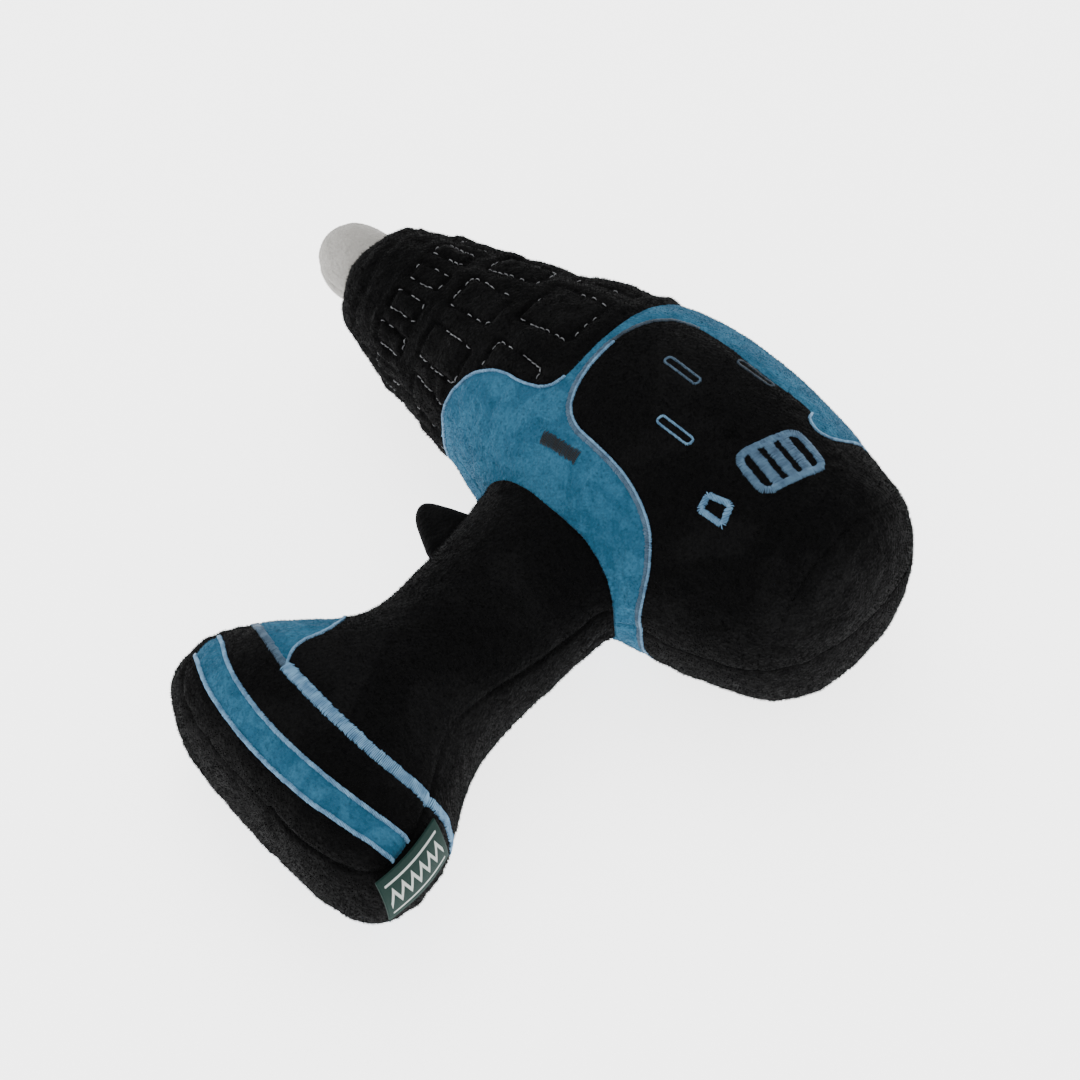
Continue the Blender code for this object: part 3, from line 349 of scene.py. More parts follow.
def cut(data, tris, column, snap=0.08):
    """Splits triangles where a column crosses zero, so that the crossing is a clean line of edges."""
    value = data[:, column].copy()
    value[np.abs(value) < snap] = 0.0
    sign = np.sign(value)
    s = sign[tris]
    mixed = (s.min(1) < 0) & (s.max(1) > 0)
    keep, work = tris[~mixed], tris[mixed]
    if not len(work):
        return data, tris
    s = s[mixed]
    has_zero = (s == 0).any(1)
    total = s.sum(1)
    lone = np.where(has_zero, np.argmax(s == 0, 1), np.argmax(s == -total[:, None], 1))
    order = (lone[:, None] + np.arange(3)) % 3
    work = np.take_along_axis(work, order, 1)
    a, b, c = work.T
    edges = np.sort(np.concatenate([np.stack([a, b], 1)[~has_zero], np.stack([a, c], 1)[~has_zero],
                                    np.stack([b, c], 1)[has_zero]]), 1)
    unique, index = np.unique(edges, axis=0, return_inverse=True)
    index = index.reshape(-1)
    u, v = unique.T
    t = (value[u] / (value[u] - value[v]))[:, None]
    new = data[u] * (1 - t) + data[v] * t
    new[:, column] = 0.0
    base = len(data)
    n1 = (~has_zero).sum()
    ab, ac, bc = base + index[:n1], base + index[n1:2 * n1], base + index[2 * n1:]
    a1, b1, c1 = a[~has_zero], b[~has_zero], c[~has_zero]
    a0, b0, c0 = a[has_zero], b[has_zero], c[has_zero]
    made = [(a1, ab, ac), (ab, b1, c1), (ab, c1, ac), (a0, b0, bc), (a0, bc, c0)]
    return np.vstack([data, new]), np.vstack([keep] + [np.stack(m, 1) for m in made])


def point_normals(points, tris):
    p = points[tris]
    n = np.cross(p[:, 1] - p[:, 0], p[:, 2] - p[:, 0])
    out = np.zeros_like(points)
    for k in range(3):
        np.add.at(out, tris[:, k], n)
    return out / np.maximum(np.linalg.norm(out, axis=1), 1e-12)[:, None]


def triangles(obj):
    mesh = obj.data
    mesh.calc_loop_triangles()
    points = np.empty(len(mesh.vertices) * 3)
    mesh.vertices.foreach_get("co", points)
    tris = np.empty(len(mesh.loop_triangles) * 3, int)
    mesh.loop_triangles.foreach_get("vertices", tris)
    return points.reshape(-1, 3), tris.reshape(-1, 3)


def apply_all(obj):
    bpy.ops.object.select_all(action="DESELECT")
    bpy.context.view_layer.objects.active = obj
    obj.select_set(True)
    for modifier in list(obj.modifiers):
        bpy.ops.object.modifier_apply(modifier=modifier.name)
    obj.select_set(False)


def remeshed_hull():
    """Body and handle as one skin: voxel remesh, then a little smoothing at the junction."""
    points, faces = body_tube()
    more, handle_faces = handle_tube()
    shift = len(points)
    faces = faces + [tuple(i + shift for i in f) for f in handle_faces]
    obj = add_object("toy_hull", np.vstack([points, more]) / 1000.0, faces)
    remesh = obj.modifiers.new("Remesh", "REMESH")
    remesh.mode = "VOXEL"
    remesh.voxel_size = VOXEL / 1000.0
    smooth = obj.modifiers.new("Smooth", "SMOOTH")
    smooth.factor = 0.5
    smooth.iterations = 4
    apply_all(obj)
    return obj


def seam_distance(p, n, f):
    """Distance along the surface to the nearest sewn seam."""
    def along(value, axis):
        return np.abs(value) / np.sqrt(np.maximum(0.08, 1.0 - n[:, axis] ** 2))

    grip = f[:, GRIP] > 0
    gusset = along(f[:, GUS], 2)
    middle = along(p[:, 2], 2)
    middle = np.where(grip & ((p[:, 0] > 0) | (p[:, 1] < -118.0)), 99.0, middle)
    rear = np.where(grip, 99.0, along(f[:, REAR], 0))
    return np.minimum.reduce([middle, rear, np.where(grip, gusset, 99.0), np.abs(f[:, GRIP]) * 0.8])


def inflate(obj):
    """Air pressure swells the panels between their seams, which stay where they are."""
    start, tris = triangles(obj)
    start = start * 1000.0
    normals = point_normals(start, tris)
    held = seam_distance(start, normals, fields_of(start)) < 1.5
    group = obj.vertex_groups.new(name="seams")
    group.add([int(i) for i in np.flatnonzero(held)], 1.0, "REPLACE")
    cloth = obj.modifiers.new("Cloth", "CLOTH")
    settings = cloth.settings
    settings.quality = 5
    settings.mass = 0.05
    settings.tension_stiffness = 0.02
    settings.compression_stiffness = 0.02
    settings.shear_stiffness = 0.01
    settings.bending_stiffness = 0.001
    settings.use_pressure = True
    settings.uniform_pressure_force = 4.0
    settings.effector_weights.gravity = 0.0
    settings.vertex_group_mass = "seams"
    cloth.collision_settings.use_collision = False
    scene = bpy.context.scene
    for step in range(1, 21):
        scene.frame_set(step)
    ready = obj.evaluated_get(bpy.context.evaluated_depsgraph_get())
    swollen = np.empty(len(obj.data.vertices) * 3)
    ready.data.vertices.foreach_get("co", swollen)
    obj.modifiers.remove(cloth)
    scene.frame_set(1)
    out = ((swollen.reshape(-1, 3) * 1000.0 - start) * normals).sum(1)
    most = np.where(out > 0.0, MOST_SWELL, MOST_SINK)
    out = most * np.tanh(out / most)
    print("cloth swells, 5th, 50th and 95th percentile in mm:", np.percentile(out, (5, 50, 95)).round(2))
    obj.data.vertices.foreach_set("co", ((start + normals * out[:, None]) / 1000.0).reshape(-1))
    obj.data.update()


def refine(obj, levels=2):
    sub = obj.modifiers.new("Subdivide", "SUBSURF")
    sub.levels = levels
    sub.render_levels = levels
    apply_all(obj)


def quilt(p):
    """Signed distance to the nearest quilted figure of the chuck, negative inside one."""
    rows = np.array(BODY_ROWS)
    cy, hh, hw = (np.interp(p[:, 0], rows[:, 0], rows[:, k]) for k in (1, 2, 3))
    angle = np.degrees(np.arctan2(p[:, 2], p[:, 1] - cy))
    radius = (hh + hw) / 2.0
    best = np.full(len(p), 99.0)
    for (x, length, width, count, first), corner in zip(QUILT_ROWS, QUILT_CORNER):
        pitch = 360.0 / count
        turn = (angle - first + pitch / 2.0) % pitch - pitch / 2.0
        u = np.abs(p[:, 0] - x) - length / 2.0 + corner
        v = np.abs(np.radians(turn) * radius) - width / 2.0 + corner
        d = np.hypot(np.maximum(u, 0), np.maximum(v, 0)) + np.minimum(np.maximum(u, v), 0) - corner
        best = np.where(np.abs(p[:, 0] - x) < length / 2.0 + 4.0, np.minimum(best, d), best)
    return best


def relief(p, n, f):
    """How far the plush stands out from the hull: seams, puckers, quilting and lumps."""
    seam = seam_distance(p, n, f)
    out = 0.5 * lumps(p, 26.0, 3) + 0.28 * lumps(p, 11.0, 4)
    pucker = lumps(p * np.array([1.0, 1.0, 0.35]), 4.6, 5)
    out += 0.42 * pucker * np.exp(-(seam / 5.0) ** 2)
    deep = np.where((f[:, GRIP] > 0) & (p[:, 0] > 0.0), 0.9, 0.35)
    out -= deep * (0.8 * np.exp(-(seam / 0.8) ** 2) + 0.5 * np.exp(-(seam / 4.0) ** 2))
    chuck = (f[:, CHUCK] > 0) & (f[:, GRIP] < 0)
    d = quilt(p)
    fade = np.clip(f[:, CHUCK] / 3.0, 0.0, 1.0)
    sunk = 1.0 + 0.5 * lumps(p, 8.0, 12)
    puff = -1.0 * sunk * np.exp(-(d / 0.8) ** 2) + 0.55 * (1.0 - np.exp(-(d / 3.0) ** 2))
    ring = 0.0
    for x, slant, depth in ((-101.0, 0.16, 0.7), (-93.0, 0.05, 0.4), (-73.6, 0.03, 0.35), (-50.0, 0.02, 0.3)):
        ring = ring - depth * np.exp(-((p[:, 0] - x + slant * p[:, 1] + 0.9 * lumps(p, 9.0, 8)) / 1.7) ** 2)
    out += np.where(chuck, fade * (puff * (p[:, 0] > -91.0) + ring + 0.7 * lumps(p, 6.5, 6)
                           + 0.25 * lumps(p, 3.0, 7)), 0.0)
    # Applied edges: a small valley on both sides of each embroidered border.
    for column, mask, depth in ((CHUCK, f[:, GRIP] < 0, 0.55), (MOTOR, f[:, GRIP] < 0, 0.55),
                                (BAND, f[:, GRIP] > 0, 0.5), (UPPER, f[:, GRIP] > 0, 0.45),
                                (LOWER, f[:, GRIP] > 0, 0.45)):
        out -= np.where(mask, depth * np.exp(-(f[:, column] / 2.2) ** 2), 0.0)
    return out


def stuffing_surface():
    """The stuffing of the body and the handle, in the toy's own frame."""
    c, s = math.cos(ROLL), math.sin(ROLL)
    points, faces = [], []
    for name in ("body_stuffing", "handle_stuffing"):
        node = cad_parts[name]
        first = len(points)
        p = np.array([node.matrix_world @ v.co for v in node.data.vertices]) * 1000.0 - ORIGIN
        points += np.stack([p[:, 0], p[:, 1] * c + p[:, 2] * s, p[:, 2] * c - p[:, 1] * s], 1).tolist()
        faces += [[first + i for i in face.vertices] for face in node.data.polygons]
    return BVHTree.FromPolygons(points, faces)


def clear_of_stuffing(skin, normals):
    """The skin, moved out wherever the inner side of its cloth would reach the stuffing."""
    filling = stuffing_surface()
    short = np.zeros(len(skin))
    for i, spot in enumerate(skin):
        near, way, _, _ = filling.find_nearest(Vector(spot), NEAR_STUFFING)
        if near is None or spot[0] < TIP_END:
            continue
        gap = Vector(spot) - near
        short[i] = CLOTH + FILL_ROOM - math.copysign(gap.length, gap.dot(way))
    moved = np.clip(short, 0.0, MOST_ROOM)
    return skin + normals * moved[:, None]


def label_of(f):
    """Which panel each triangle belongs to."""
    names = np.full(len(f), "gearcase", dtype=object)
    names[f[:, MOTOR] > 0] = "motor_cover"
    names[f[:, REAR] > 0] = "rear_cap"
    names[f[:, CHUCK] > 0] = "chuck"
    grip = f[:, GRIP] > 0
    names[grip] = "grip"
    names[grip & (f[:, CORNER] > 0)] = "foot_corner"
    below = grip & (f[:, BAND] < 0)
    names[below] = "foot_upper"
    names[below & (f[:, UPPER] < 0)] = "foot_stripe"
    names[below & (f[:, LOWER] < 0)] = "foot_lower"
    side = np.where(f[:, MID] > 0, "_left", "_right").astype(object)
    names = names + side
    gusset = grip & (f[:, GUS] > 0)
    names[gusset] = np.where(f[gusset, BAND] > 0, "handle_gusset", "foot_gusset")
    return names


def closed_cloth(name, points, normals, tris, thickness, pile=None):
    """A patch of skin given its inner side and edges, as one closed piece with its pile."""
    used, index = np.unique(tris, return_inverse=True)
    local = index.reshape(-1, 3)
    top = points[used]
    low = top - normals[used] * thickness
    ends = np.concatenate([local[:, [0, 1]], local[:, [1, 2]], local[:, [2, 0]]])
    key = np.sort(ends, 1)
    _, first, counts = np.unique(key, axis=0, return_index=True, return_counts=True)
    rim = ends[first[counts == 1]]
    count = len(used)
    quads = np.stack([rim[:, 1], rim[:, 0], rim[:, 0] + count, rim[:, 1] + count], 1)
    faces = local.tolist() + (local[:, ::-1] + count).tolist() + quads.tolist()
    parts = [top, low]
    if pile:
        tufts, tuft_faces = pile_on(points, normals, tris, *pile)
        faces += (tuft_faces + 2 * count).tolist()
        parts.append(tufts)
    obj = add_object(name, place(np.vstack(parts)), faces)
    obj.data.shade_smooth()
    return obj


def pile_on(points, normals, tris, per_mm2, length, width):
    """Short tufts of pile standing on a patch, all leaning with the nap: points and faces."""
    p = points[tris]
    area = np.linalg.norm(np.cross(p[:, 1] - p[:, 0], p[:, 2] - p[:, 0]), axis=1) / 2.0
    count = int(area.sum() * per_mm2)
    pick = DRAW.choice(len(tris), count, p=area / area.sum())
    u = DRAW.uniform(0.0, 1.0, (count, 2))
    u = np.where(u.sum(1)[:, None] > 1.0, 1.0 - u, u)
    w = np.stack([1.0 - u.sum(1), u[:, 0], u[:, 1]], 1)[:, :, None]
    spot = (p[pick] * w).sum(1)
    normal = (normals[tris[pick]] * w).sum(1)
    normal /= np.linalg.norm(normal, axis=1)[:, None]
    nap = np.stack([lumps(spot, 17.0, 51), lumps(spot, 17.0, 52), lumps(spot, 17.0, 53)], 1)
    nap = nap * 1.3 + DRAW.normal(0.0, 0.35, (count, 3))
    nap -= (nap * normal).sum(1)[:, None] * normal
    side = np.cross(normal, DRAW.normal(0.0, 1.0, (count, 3)))
    side /= np.maximum(np.linalg.norm(side, axis=1), 1e-9)[:, None]
    other = np.cross(normal, side)
    tall = length * DRAW.uniform(0.6, 1.15, count)[:, None]
    base = spot - normal * 0.12
    feet = [base + (side * math.cos(a) + other * math.sin(a)) * width for a in (0.0, 2.094, 4.189)]
    tip = spot + normal * tall * 0.75 + nap * tall * 0.6
    made = np.stack([*feet, tip], 1)
    made = made[(place(made.reshape(-1, 3))[:, 2] > 0.00005).reshape(-1, 4).all(1)]
    first = (np.arange(len(made)) * 4)[:, None]
    made = made.reshape(-1, 3)
    faces = [first + np.array([k]) for k in ((0, 1, 3), (1, 2, 3), (2, 0, 3), (0, 2, 1))]
    return made, np.concatenate(faces)


def seam_chains(tris, labels, first, second):
    """Runs of edges between two panels, as lists of point numbers in order."""
    a = tris[labels == first]
    b = tris[labels == second]

    def keys(t):
        e = np.concatenate([t[:, [0, 1]], t[:, [1, 2]], t[:, [2, 0]]])
        return {tuple(sorted(map(int, pair))) for pair in e}

    shared = keys(a) & keys(b)
    near = {}
    for u, v in shared:
        near.setdefault(u, []).append(v)
        near.setdefault(v, []).append(u)
    chains, left = [], dict(near)
    starts = sorted(k for k, v in near.items() if len(v) == 1) + sorted(near)
    seen = set()
    for start in starts:
        if start in seen:
            continue
        chain = [start]
        seen.add(start)
        while True:
            ahead = [k for k in near[chain[-1]] if k not in seen]
            if not ahead:
                break
            chain.append(min(ahead))
            seen.add(chain[-1])
        if len(chain) > 4:
            chains.append(chain)
    return sorted(chains, key=len, reverse=True)


def stitched(name, centres, across, normals, widths, radius, rise, slant=None, sides=5, sections=6):
    """Satin stitches: one bent thread per centre, its ends sunk into the cloth."""
    count = len(centres)
    at = np.linspace(-0.5, 0.5, sections)
    along = np.cross(normals, across)
    along /= np.maximum(np.linalg.norm(along, axis=1), 1e-9)[:, None]
    height = rise * np.sqrt(np.maximum(0.0, 1.0 - (2 * at) ** 4)) - 0.35 * (np.abs(at) > 0.49)
    slant = np.zeros(count) if slant is None else slant
    line = (centres[:, None] + across[:, None] * (at * 1.0)[None, :, None] * widths[:, None, None]
            + normals[:, None] * height[None, :, None]
            + along[:, None] * (at[None, :] * slant[:, None])[:, :, None])
    angles = np.linspace(0, 2 * math.pi, sides, endpoint=False)
    thick = radius * np.where(np.abs(at) > 0.49, 0.55, 1.0)
    ring = (np.cos(angles)[None, None, :, None] * along[:, None, None, :]
            + np.sin(angles)[None, None, :, None] * normals[:, None, None, :])
    points = line[:, :, None, :] + ring * thick[None, :, None, None]
    base = (np.arange(count) * sections * sides)[:, None]
    quads, caps = [], []
    for k in range(sections - 1):
        for i in range(sides):
            j = (i + 1) % sides
            quads.append([k * sides + i, k * sides + j, (k + 1) * sides + j, (k + 1) * sides + i])
    quads = np.array(quads)
    faces = (base[:, :, None] + quads[None]).reshape(-1, 4).tolist()
    front = np.arange(sides)[::-1]
    back = (sections - 1) * sides + np.arange(sides)
    faces += (base + front[None]).tolist() + (base + back[None]).tolist()
    laid = place(points.reshape(-1, 3))
    laid[:, 2] = np.maximum(laid[:, 2], 0.00002)
    obj = add_object(name, laid, faces)
    mesh_out(obj)
    obj.data.shade_smooth()
    return obj


def mesh_out(obj):
    bpy.ops.object.select_all(action="DESELECT")
    bpy.context.view_layer.objects.active = obj
    obj.select_set(True)
    bpy.ops.object.mode_set(mode="EDIT")
    bpy.ops.mesh.select_all(action="SELECT")
    bpy.ops.mesh.normals_make_consistent(inside=False)
    bpy.ops.object.mode_set(mode="OBJECT")
    obj.select_set(False)


def satin_on(name, line, width, rise=0.45, pitch=STITCH_PITCH, closed=False, radius=THREAD, spread=0.09):
    """Satin stitches across a line of points with normals (six columns)."""
    line = resample(line, pitch, closed)
    points, normals = line[:, :3], line[:, 3:]
    normals = normals / np.linalg.norm(normals, axis=1)[:, None]
    if closed:
        along = np.roll(points, -1, 0) - np.roll(points, 1, 0)
    else:
        along = np.gradient(points, axis=0)
    across = np.cross(normals, along)
    across /= np.maximum(np.linalg.norm(across, axis=1), 1e-9)[:, None]
    n = len(points)
    widths = width * (1.0 + DRAW.uniform(-spread, spread, n))
    slant = 0.25 + DRAW.uniform(-0.18, 0.18, n)
    points = points + across * DRAW.uniform(-0.05, 0.05, n)[:, None] * width
    points = points + normals * DRAW.uniform(-0.05, 0.07, n)[:, None]
    return stitched(name, points, across, normals, widths, radius, rise, slant)


# ---------------------------------------------------------------- materials
def node_group(name, inputs, outputs):
    group = bpy.data.node_groups.new(name, "ShaderNodeTree")
    for socket, kind, value in inputs:
        made = group.interface.new_socket(socket, in_out="INPUT", socket_type=kind)
        made.default_value = value
    for socket, kind in outputs:
        group.interface.new_socket(socket, in_out="OUTPUT", socket_type=kind)
    return group, group.nodes.new("NodeGroupInput"), group.nodes.new("NodeGroupOutput")


def plush_nap_group():
    """Brushed patches, tufts and fine fibres of a short pile."""
    group, given, out = node_group(
        "plush_nap",
        [("Colour", "NodeSocketColor", (0.1, 0.1, 0.1, 1)),
         ("Brushed", "NodeSocketColor", (0.2, 0.2, 0.2, 1)),
         ("Patch Size", "NodeSocketFloat", 30.0), ("Patches", "NodeSocketFloat", 0.6)],
        [("Colour", "NodeSocketColor"), ("Roughness", "NodeSocketFloat"), ("Height", "NodeSocketFloat")])
    add, join = group.nodes.new, group.links.new
    coords = add("ShaderNodeTexCoord")
    patch = add("ShaderNodeTexNoise")
    patch.inputs["Detail"].default_value = 4.0
    patch.inputs["Distortion"].default_value = 0.9
    join(coords.outputs["Object"], patch.inputs["Vector"])
    join(given.outputs["Patch Size"], patch.inputs["Scale"])
    ramp = add("ShaderNodeMapRange")
    ramp.interpolation_type = "SMOOTHERSTEP"
    ramp.inputs["From Min"].default_value = 0.40
    ramp.inputs["From Max"].default_value = 0.62
    join(patch.outputs["Fac"], ramp.inputs["Value"])
    fibre = add("ShaderNodeTexNoise")
    fibre.inputs["Scale"].default_value = 1500.0
    fibre.inputs["Detail"].default_value = 2.0
    join(coords.outputs["Object"], fibre.inputs["Vector"])
    tuft = add("ShaderNodeTexVoronoi")
    tuft.inputs["Scale"].default_value = 900.0
    join(coords.outputs["Object"], tuft.inputs["Vector"])
    amount = add("ShaderNodeMath")
    amount.operation = "MULTIPLY"
    join(ramp.outputs["Result"], amount.inputs[0])
    join(given.outputs["Patches"], amount.inputs[1])
    grain = add("ShaderNodeMath")
    grain.operation = "MULTIPLY_ADD"
    grain.inputs[1].default_value = 1.5
    grain.inputs[2].default_value = -0.75
    join(fibre.outputs["Fac"], grain.inputs[0])
    both = add("ShaderNodeMath")
    both.use_clamp = True
    join(amount.outputs[0], both.inputs[0])
    join(grain.outputs[0], both.inputs[1])
    mix = add("ShaderNodeMix")
    mix.data_type = "RGBA"
    join(both.outputs[0], mix.inputs["Factor"])
    join(given.outputs["Colour"], mix.inputs["A"])
    join(given.outputs["Brushed"], mix.inputs["B"])
    join(mix.outputs["Result"], out.inputs["Colour"])
    rough = add("ShaderNodeMapRange")
    rough.inputs["To Min"].default_value = 0.82
    rough.inputs["To Max"].default_value = 1.0
    join(fibre.outputs["Fac"], rough.inputs["Value"])
    join(rough.outputs["Result"], out.inputs["Roughness"])
    high = add("ShaderNodeMath")
    high.operation = "ADD"
    join(fibre.outputs["Fac"], high.inputs[0])
    join(tuft.outputs["Distance"], high.inputs[1])
    join(high.outputs[0], out.inputs["Height"])
    return group


def thread_group():
    """Twisted rayon thread: ply lines and small shifts of shade from stitch to stitch."""
    group, given, out = node_group(
        "twisted_thread",
        [("Colour", "NodeSocketColor", (0.3, 0.5, 0.7, 1)), ("Shade", "NodeSocketColor", (0.1, 0.2, 0.3, 1))],
        [("Colour", "NodeSocketColor"), ("Roughness", "NodeSocketFloat"), ("Height", "NodeSocketFloat")])
    add, join = group.nodes.new, group.links.new
    coords = add("ShaderNodeTexCoord")
    shade = add("ShaderNodeTexNoise")
    shade.inputs["Scale"].default_value = 420.0
    shade.inputs["Detail"].default_value = 3.0
    join(coords.outputs["Object"], shade.inputs["Vector"])
    ply = add("ShaderNodeTexWave")
    ply.bands_direction = "DIAGONAL"
    ply.inputs["Scale"].default_value = 1400.0
    ply.inputs["Distortion"].default_value = 3.0
    join(coords.outputs["Object"], ply.inputs["Vector"])
    ramp = add("ShaderNodeMapRange")
    ramp.inputs["From Min"].default_value = 0.32
    ramp.inputs["From Max"].default_value = 0.68
    join(shade.outputs["Fac"], ramp.inputs["Value"])
    mix = add("ShaderNodeMix")
    mix.data_type = "RGBA"
    join(ramp.outputs["Result"], mix.inputs["Factor"])
    join(given.outputs["Shade"], mix.inputs["A"])
    join(given.outputs["Colour"], mix.inputs["B"])
    join(mix.outputs["Result"], out.inputs["Colour"])
    rough = add("ShaderNodeMapRange")
    rough.inputs["To Min"].default_value = 0.38
    rough.inputs["To Max"].default_value = 0.62
    join(shade.outputs["Fac"], rough.inputs["Value"])
    join(rough.outputs["Result"], out.inputs["Roughness"])
    join(ply.outputs["Fac"], out.inputs["Height"])
    return group


PLUSH_NAP = plush_nap_group()
TWISTED = thread_group()


def shader_of(name):
    mat = bpy.data.materials.new(name)
    mat.use_nodes = True
    return mat, mat.node_tree, mat.node_tree.nodes["Principled BSDF"]


def finish_nodes(tree, shader, group, colour_inputs, bump, distance, numbers=None):
    node = tree.nodes.new("ShaderNodeGroup")
    node.node_tree = group
    for socket, colour in colour_inputs.items():
        node.inputs[socket].default_value = (*colour, 1.0)
    for socket, value in (numbers or {}).items():
        node.inputs[socket].default_value = value
    raised = tree.nodes.new("ShaderNodeBump")
    raised.inputs["Strength"].default_value = bump
    raised.inputs["Distance"].default_value = distance
    tree.links.new(node.outputs["Colour"], shader.inputs["Base Color"])
    tree.links.new(node.outputs["Roughness"], shader.inputs["Roughness"])
    tree.links.new(node.outputs["Height"], raised.inputs["Height"])
    tree.links.new(raised.outputs["Normal"], shader.inputs["Normal"])


def plush(name, colour, brushed, sheen, tint, patches, size=30.0):
    mat, tree, shader = shader_of(name)
    finish_nodes(tree, shader, PLUSH_NAP, {"Colour": colour, "Brushed": brushed}, 0.55, 0.0006,
                 {"Patch Size": size, "Patches": patches})
    shader.inputs["Specular IOR Level"].default_value = 0.06
    shader.inputs["Sheen Weight"].default_value = sheen
    shader.inputs["Sheen Roughness"].default_value = 0.42
    shader.inputs["Sheen Tint"].default_value = (*tint, 1.0)
    return mat


def thread(name, colour, shade, sheen=0.08):
    mat, tree, shader = shader_of(name)
    finish_nodes(tree, shader, TWISTED, {"Colour": colour, "Shade": shade}, 0.4, 0.0002)
    shader.inputs["Specular IOR Level"].default_value = 0.3
    shader.inputs["Sheen Weight"].default_value = sheen
    return mat


BLACK = plush("black_plush_pile", (0.0016, 0.0016, 0.0017), (0.0066, 0.0066, 0.0068), 0.016,
              (0.75, 0.78, 0.80), 0.45)
BLUE = plush("blue_plush_pile", (0.017, 0.078, 0.139), (0.036, 0.135, 0.222), 0.07,
             (0.62, 0.80, 0.95), 0.55, 110.0)
GREY = plush("grey_plush_pile", (0.33, 0.32, 0.30), (0.46, 0.44, 0.42), 0.18, (1, 1, 1), 0.5)
LIGHT_THREAD = thread("light_blue_rayon", (0.20, 0.40, 0.60), (0.08, 0.19, 0.33))
# Grey-blue thread. On the motor cover border this colour is painted shade: the shaded side of a light blue
# satin ridge.
GREY_BLUE_AND_SHADE_THREAD = thread("grey_blue_rayon_and_painted_shade", (0.10, 0.17, 0.25), (0.04, 0.08, 0.13))
FAINT_THREAD = thread("dark_blue_rayon", (0.035, 0.065, 0.10), (0.012, 0.025, 0.04), 0.1)
BLACK_THREAD = thread("black_rayon", (0.010, 0.010, 0.011), (0.003, 0.003, 0.003), 0.05)
CHUCK_THREAD = thread("grey_running_thread", (0.26, 0.27, 0.28), (0.09, 0.09, 0.10), 0.1)
PANEL_LOOK = {"chuck": (BLACK, "black_plush"), "gearcase": (BLUE, "blue_plush"),
              "motor_cover": (BLACK, "black_plush"), "rear_cap": (BLACK, "black_plush"),
              "grip": (BLACK, "black_plush"), "foot_corner": (BLUE, "blue_plush"),
              "foot_upper": (BLACK, "black_plush"), "foot_stripe": (BLUE, "blue_plush"),
              "foot_lower": (BLACK, "black_plush"), "handle_gusset": (BLACK, "black_plush"),
              "foot_gusset": (BLACK, "black_plush")}


def dress(obj, mat, body="toy", stands_for=()):
    obj.data.materials.clear()
    obj.data.materials.append(mat)
    if body:
        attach(obj, body)
    if stands_for:
        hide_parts(*stands_for)
    return obj


# ---------------------------------------------------------------- the stuffed body and handle
hull = remeshed_hull()
inflate(hull)
refine(hull)
points, tris = triangles(hull)
bpy.data.objects.remove(hull, do_unlink=True)
points = points * 1000.0
normals = point_normals(points, tris)
fields = fields_of(points)
lifted = points + normals * relief(points, normals, fields)[:, None]
lifted = clear_of_stuffing(lifted, normals)
drop = FLOOR_LEVEL - place(lifted)[:, 2] * 1000.0 + 0.15
up = np.array([0.0, math.sin(ROLL), math.cos(ROLL)])
lifted = lifted + up * np.maximum(drop, 0.0)[:, None]
rough = DRAW.uniform(-PILE_ROUGH, PILE_ROUGH, len(points))
final = lifted + normals * np.where(drop > 0.0, 0.0, rough)[:, None]
data = np.hstack([fields, final, lifted])
for column in range(fields.shape[1]):
    data, tris = cut(data, tris, column)
fields, final, even = data[:, :10], data[:, 10:13], data[:, 13:16]
labels = label_of(fields[tris].mean(1))
tip_hole = (even[tris].mean(1)[:, 0] < -108.6) & (
    np.hypot(even[tris].mean(1)[:, 1] - 6.4, even[tris].mean(1)[:, 2]) < TIP_RADIUS - 1.0)
labels[tip_hole] = "none"
smooth_normals = point_normals(even, tris)
print("skin", len(tris), "triangles")
tree = BVHTree.FromPolygons(even.tolist(), tris.tolist())

for name in sorted(set(labels) - {"none"}):
    kind = name.replace("_left", "").replace("_right", "")
    mat, slot = PANEL_LOOK[kind]
    pile = BLUE_PILE if slot == "blue_plush" else BLACK_PILE
    obj = closed_cloth(name + "_plush", final, smooth_normals, tris[labels == name], CLOTH, pile)
    dress(obj, mat, stands_for=[name])


# ---------------------------------------------------------------- borders and seams
def chain_lines(first, second, low=None, high=None):
    """The seam between two panels as smooth points with normals, with a limit on x and y."""
    found = []
    for chain in seam_chains(tris, labels, first, second):
        line = np.hstack([even[chain], smooth_normals[chain]])
        if low is not None:
            ok = (line[:, :2] >= low).all(1) & (line[:, :2] <= high).all(1)
            line = line[ok]
        if len(line) < 6:
            continue
        for _ in range(4):
            line[1:-1] = line[:-2] * 0.25 + line[1:-1] * 0.5 + line[2:] * 0.25
        found.append(line)
    return found


def border(name, first, second, width, mat, node, rise=0.45, low=None, high=None, most=1,
           pitch=STITCH_PITCH, radius=THREAD, shift=0.0, spread=0.09):
    """Satin stitches along the seam between two panels, or at a shift to one side of it."""
    lines = chain_lines(first, second, low, high)[:most]
    if not lines:
        raise ValueError("no seam for " + name)
    made = [satin_on(f"{name}_{k}", beside(line, shift), width, rise, pitch, radius=radius, spread=spread)
            for k, line in enumerate(lines)]
    obj = made[0] if len(made) == 1 else joined(made)
    obj.name = name
    dress(obj, mat, stands_for=[node] if node else ())
    return obj


def beside(line, shift):
    """The line moved across the skin; a positive shift is towards the rear and the top."""
    if not shift:
        return line
    across = np.cross(line[:, 3:], np.gradient(line[:, :3], axis=0))
    across /= np.maximum(np.linalg.norm(across, axis=1), 1e-9)[:, None]
    if across[:, :2].sum() < 0:
        across = -across
    return np.hstack([line[:, :3] + across * shift, line[:, 3:]])


def joined(objects):
    bpy.ops.object.select_all(action="DESELECT")
    for o in objects:
        o.select_set(True)
    bpy.context.view_layer.objects.active = objects[0]
    bpy.ops.object.join()
    objects[0].select_set(False)
    return objects[0]


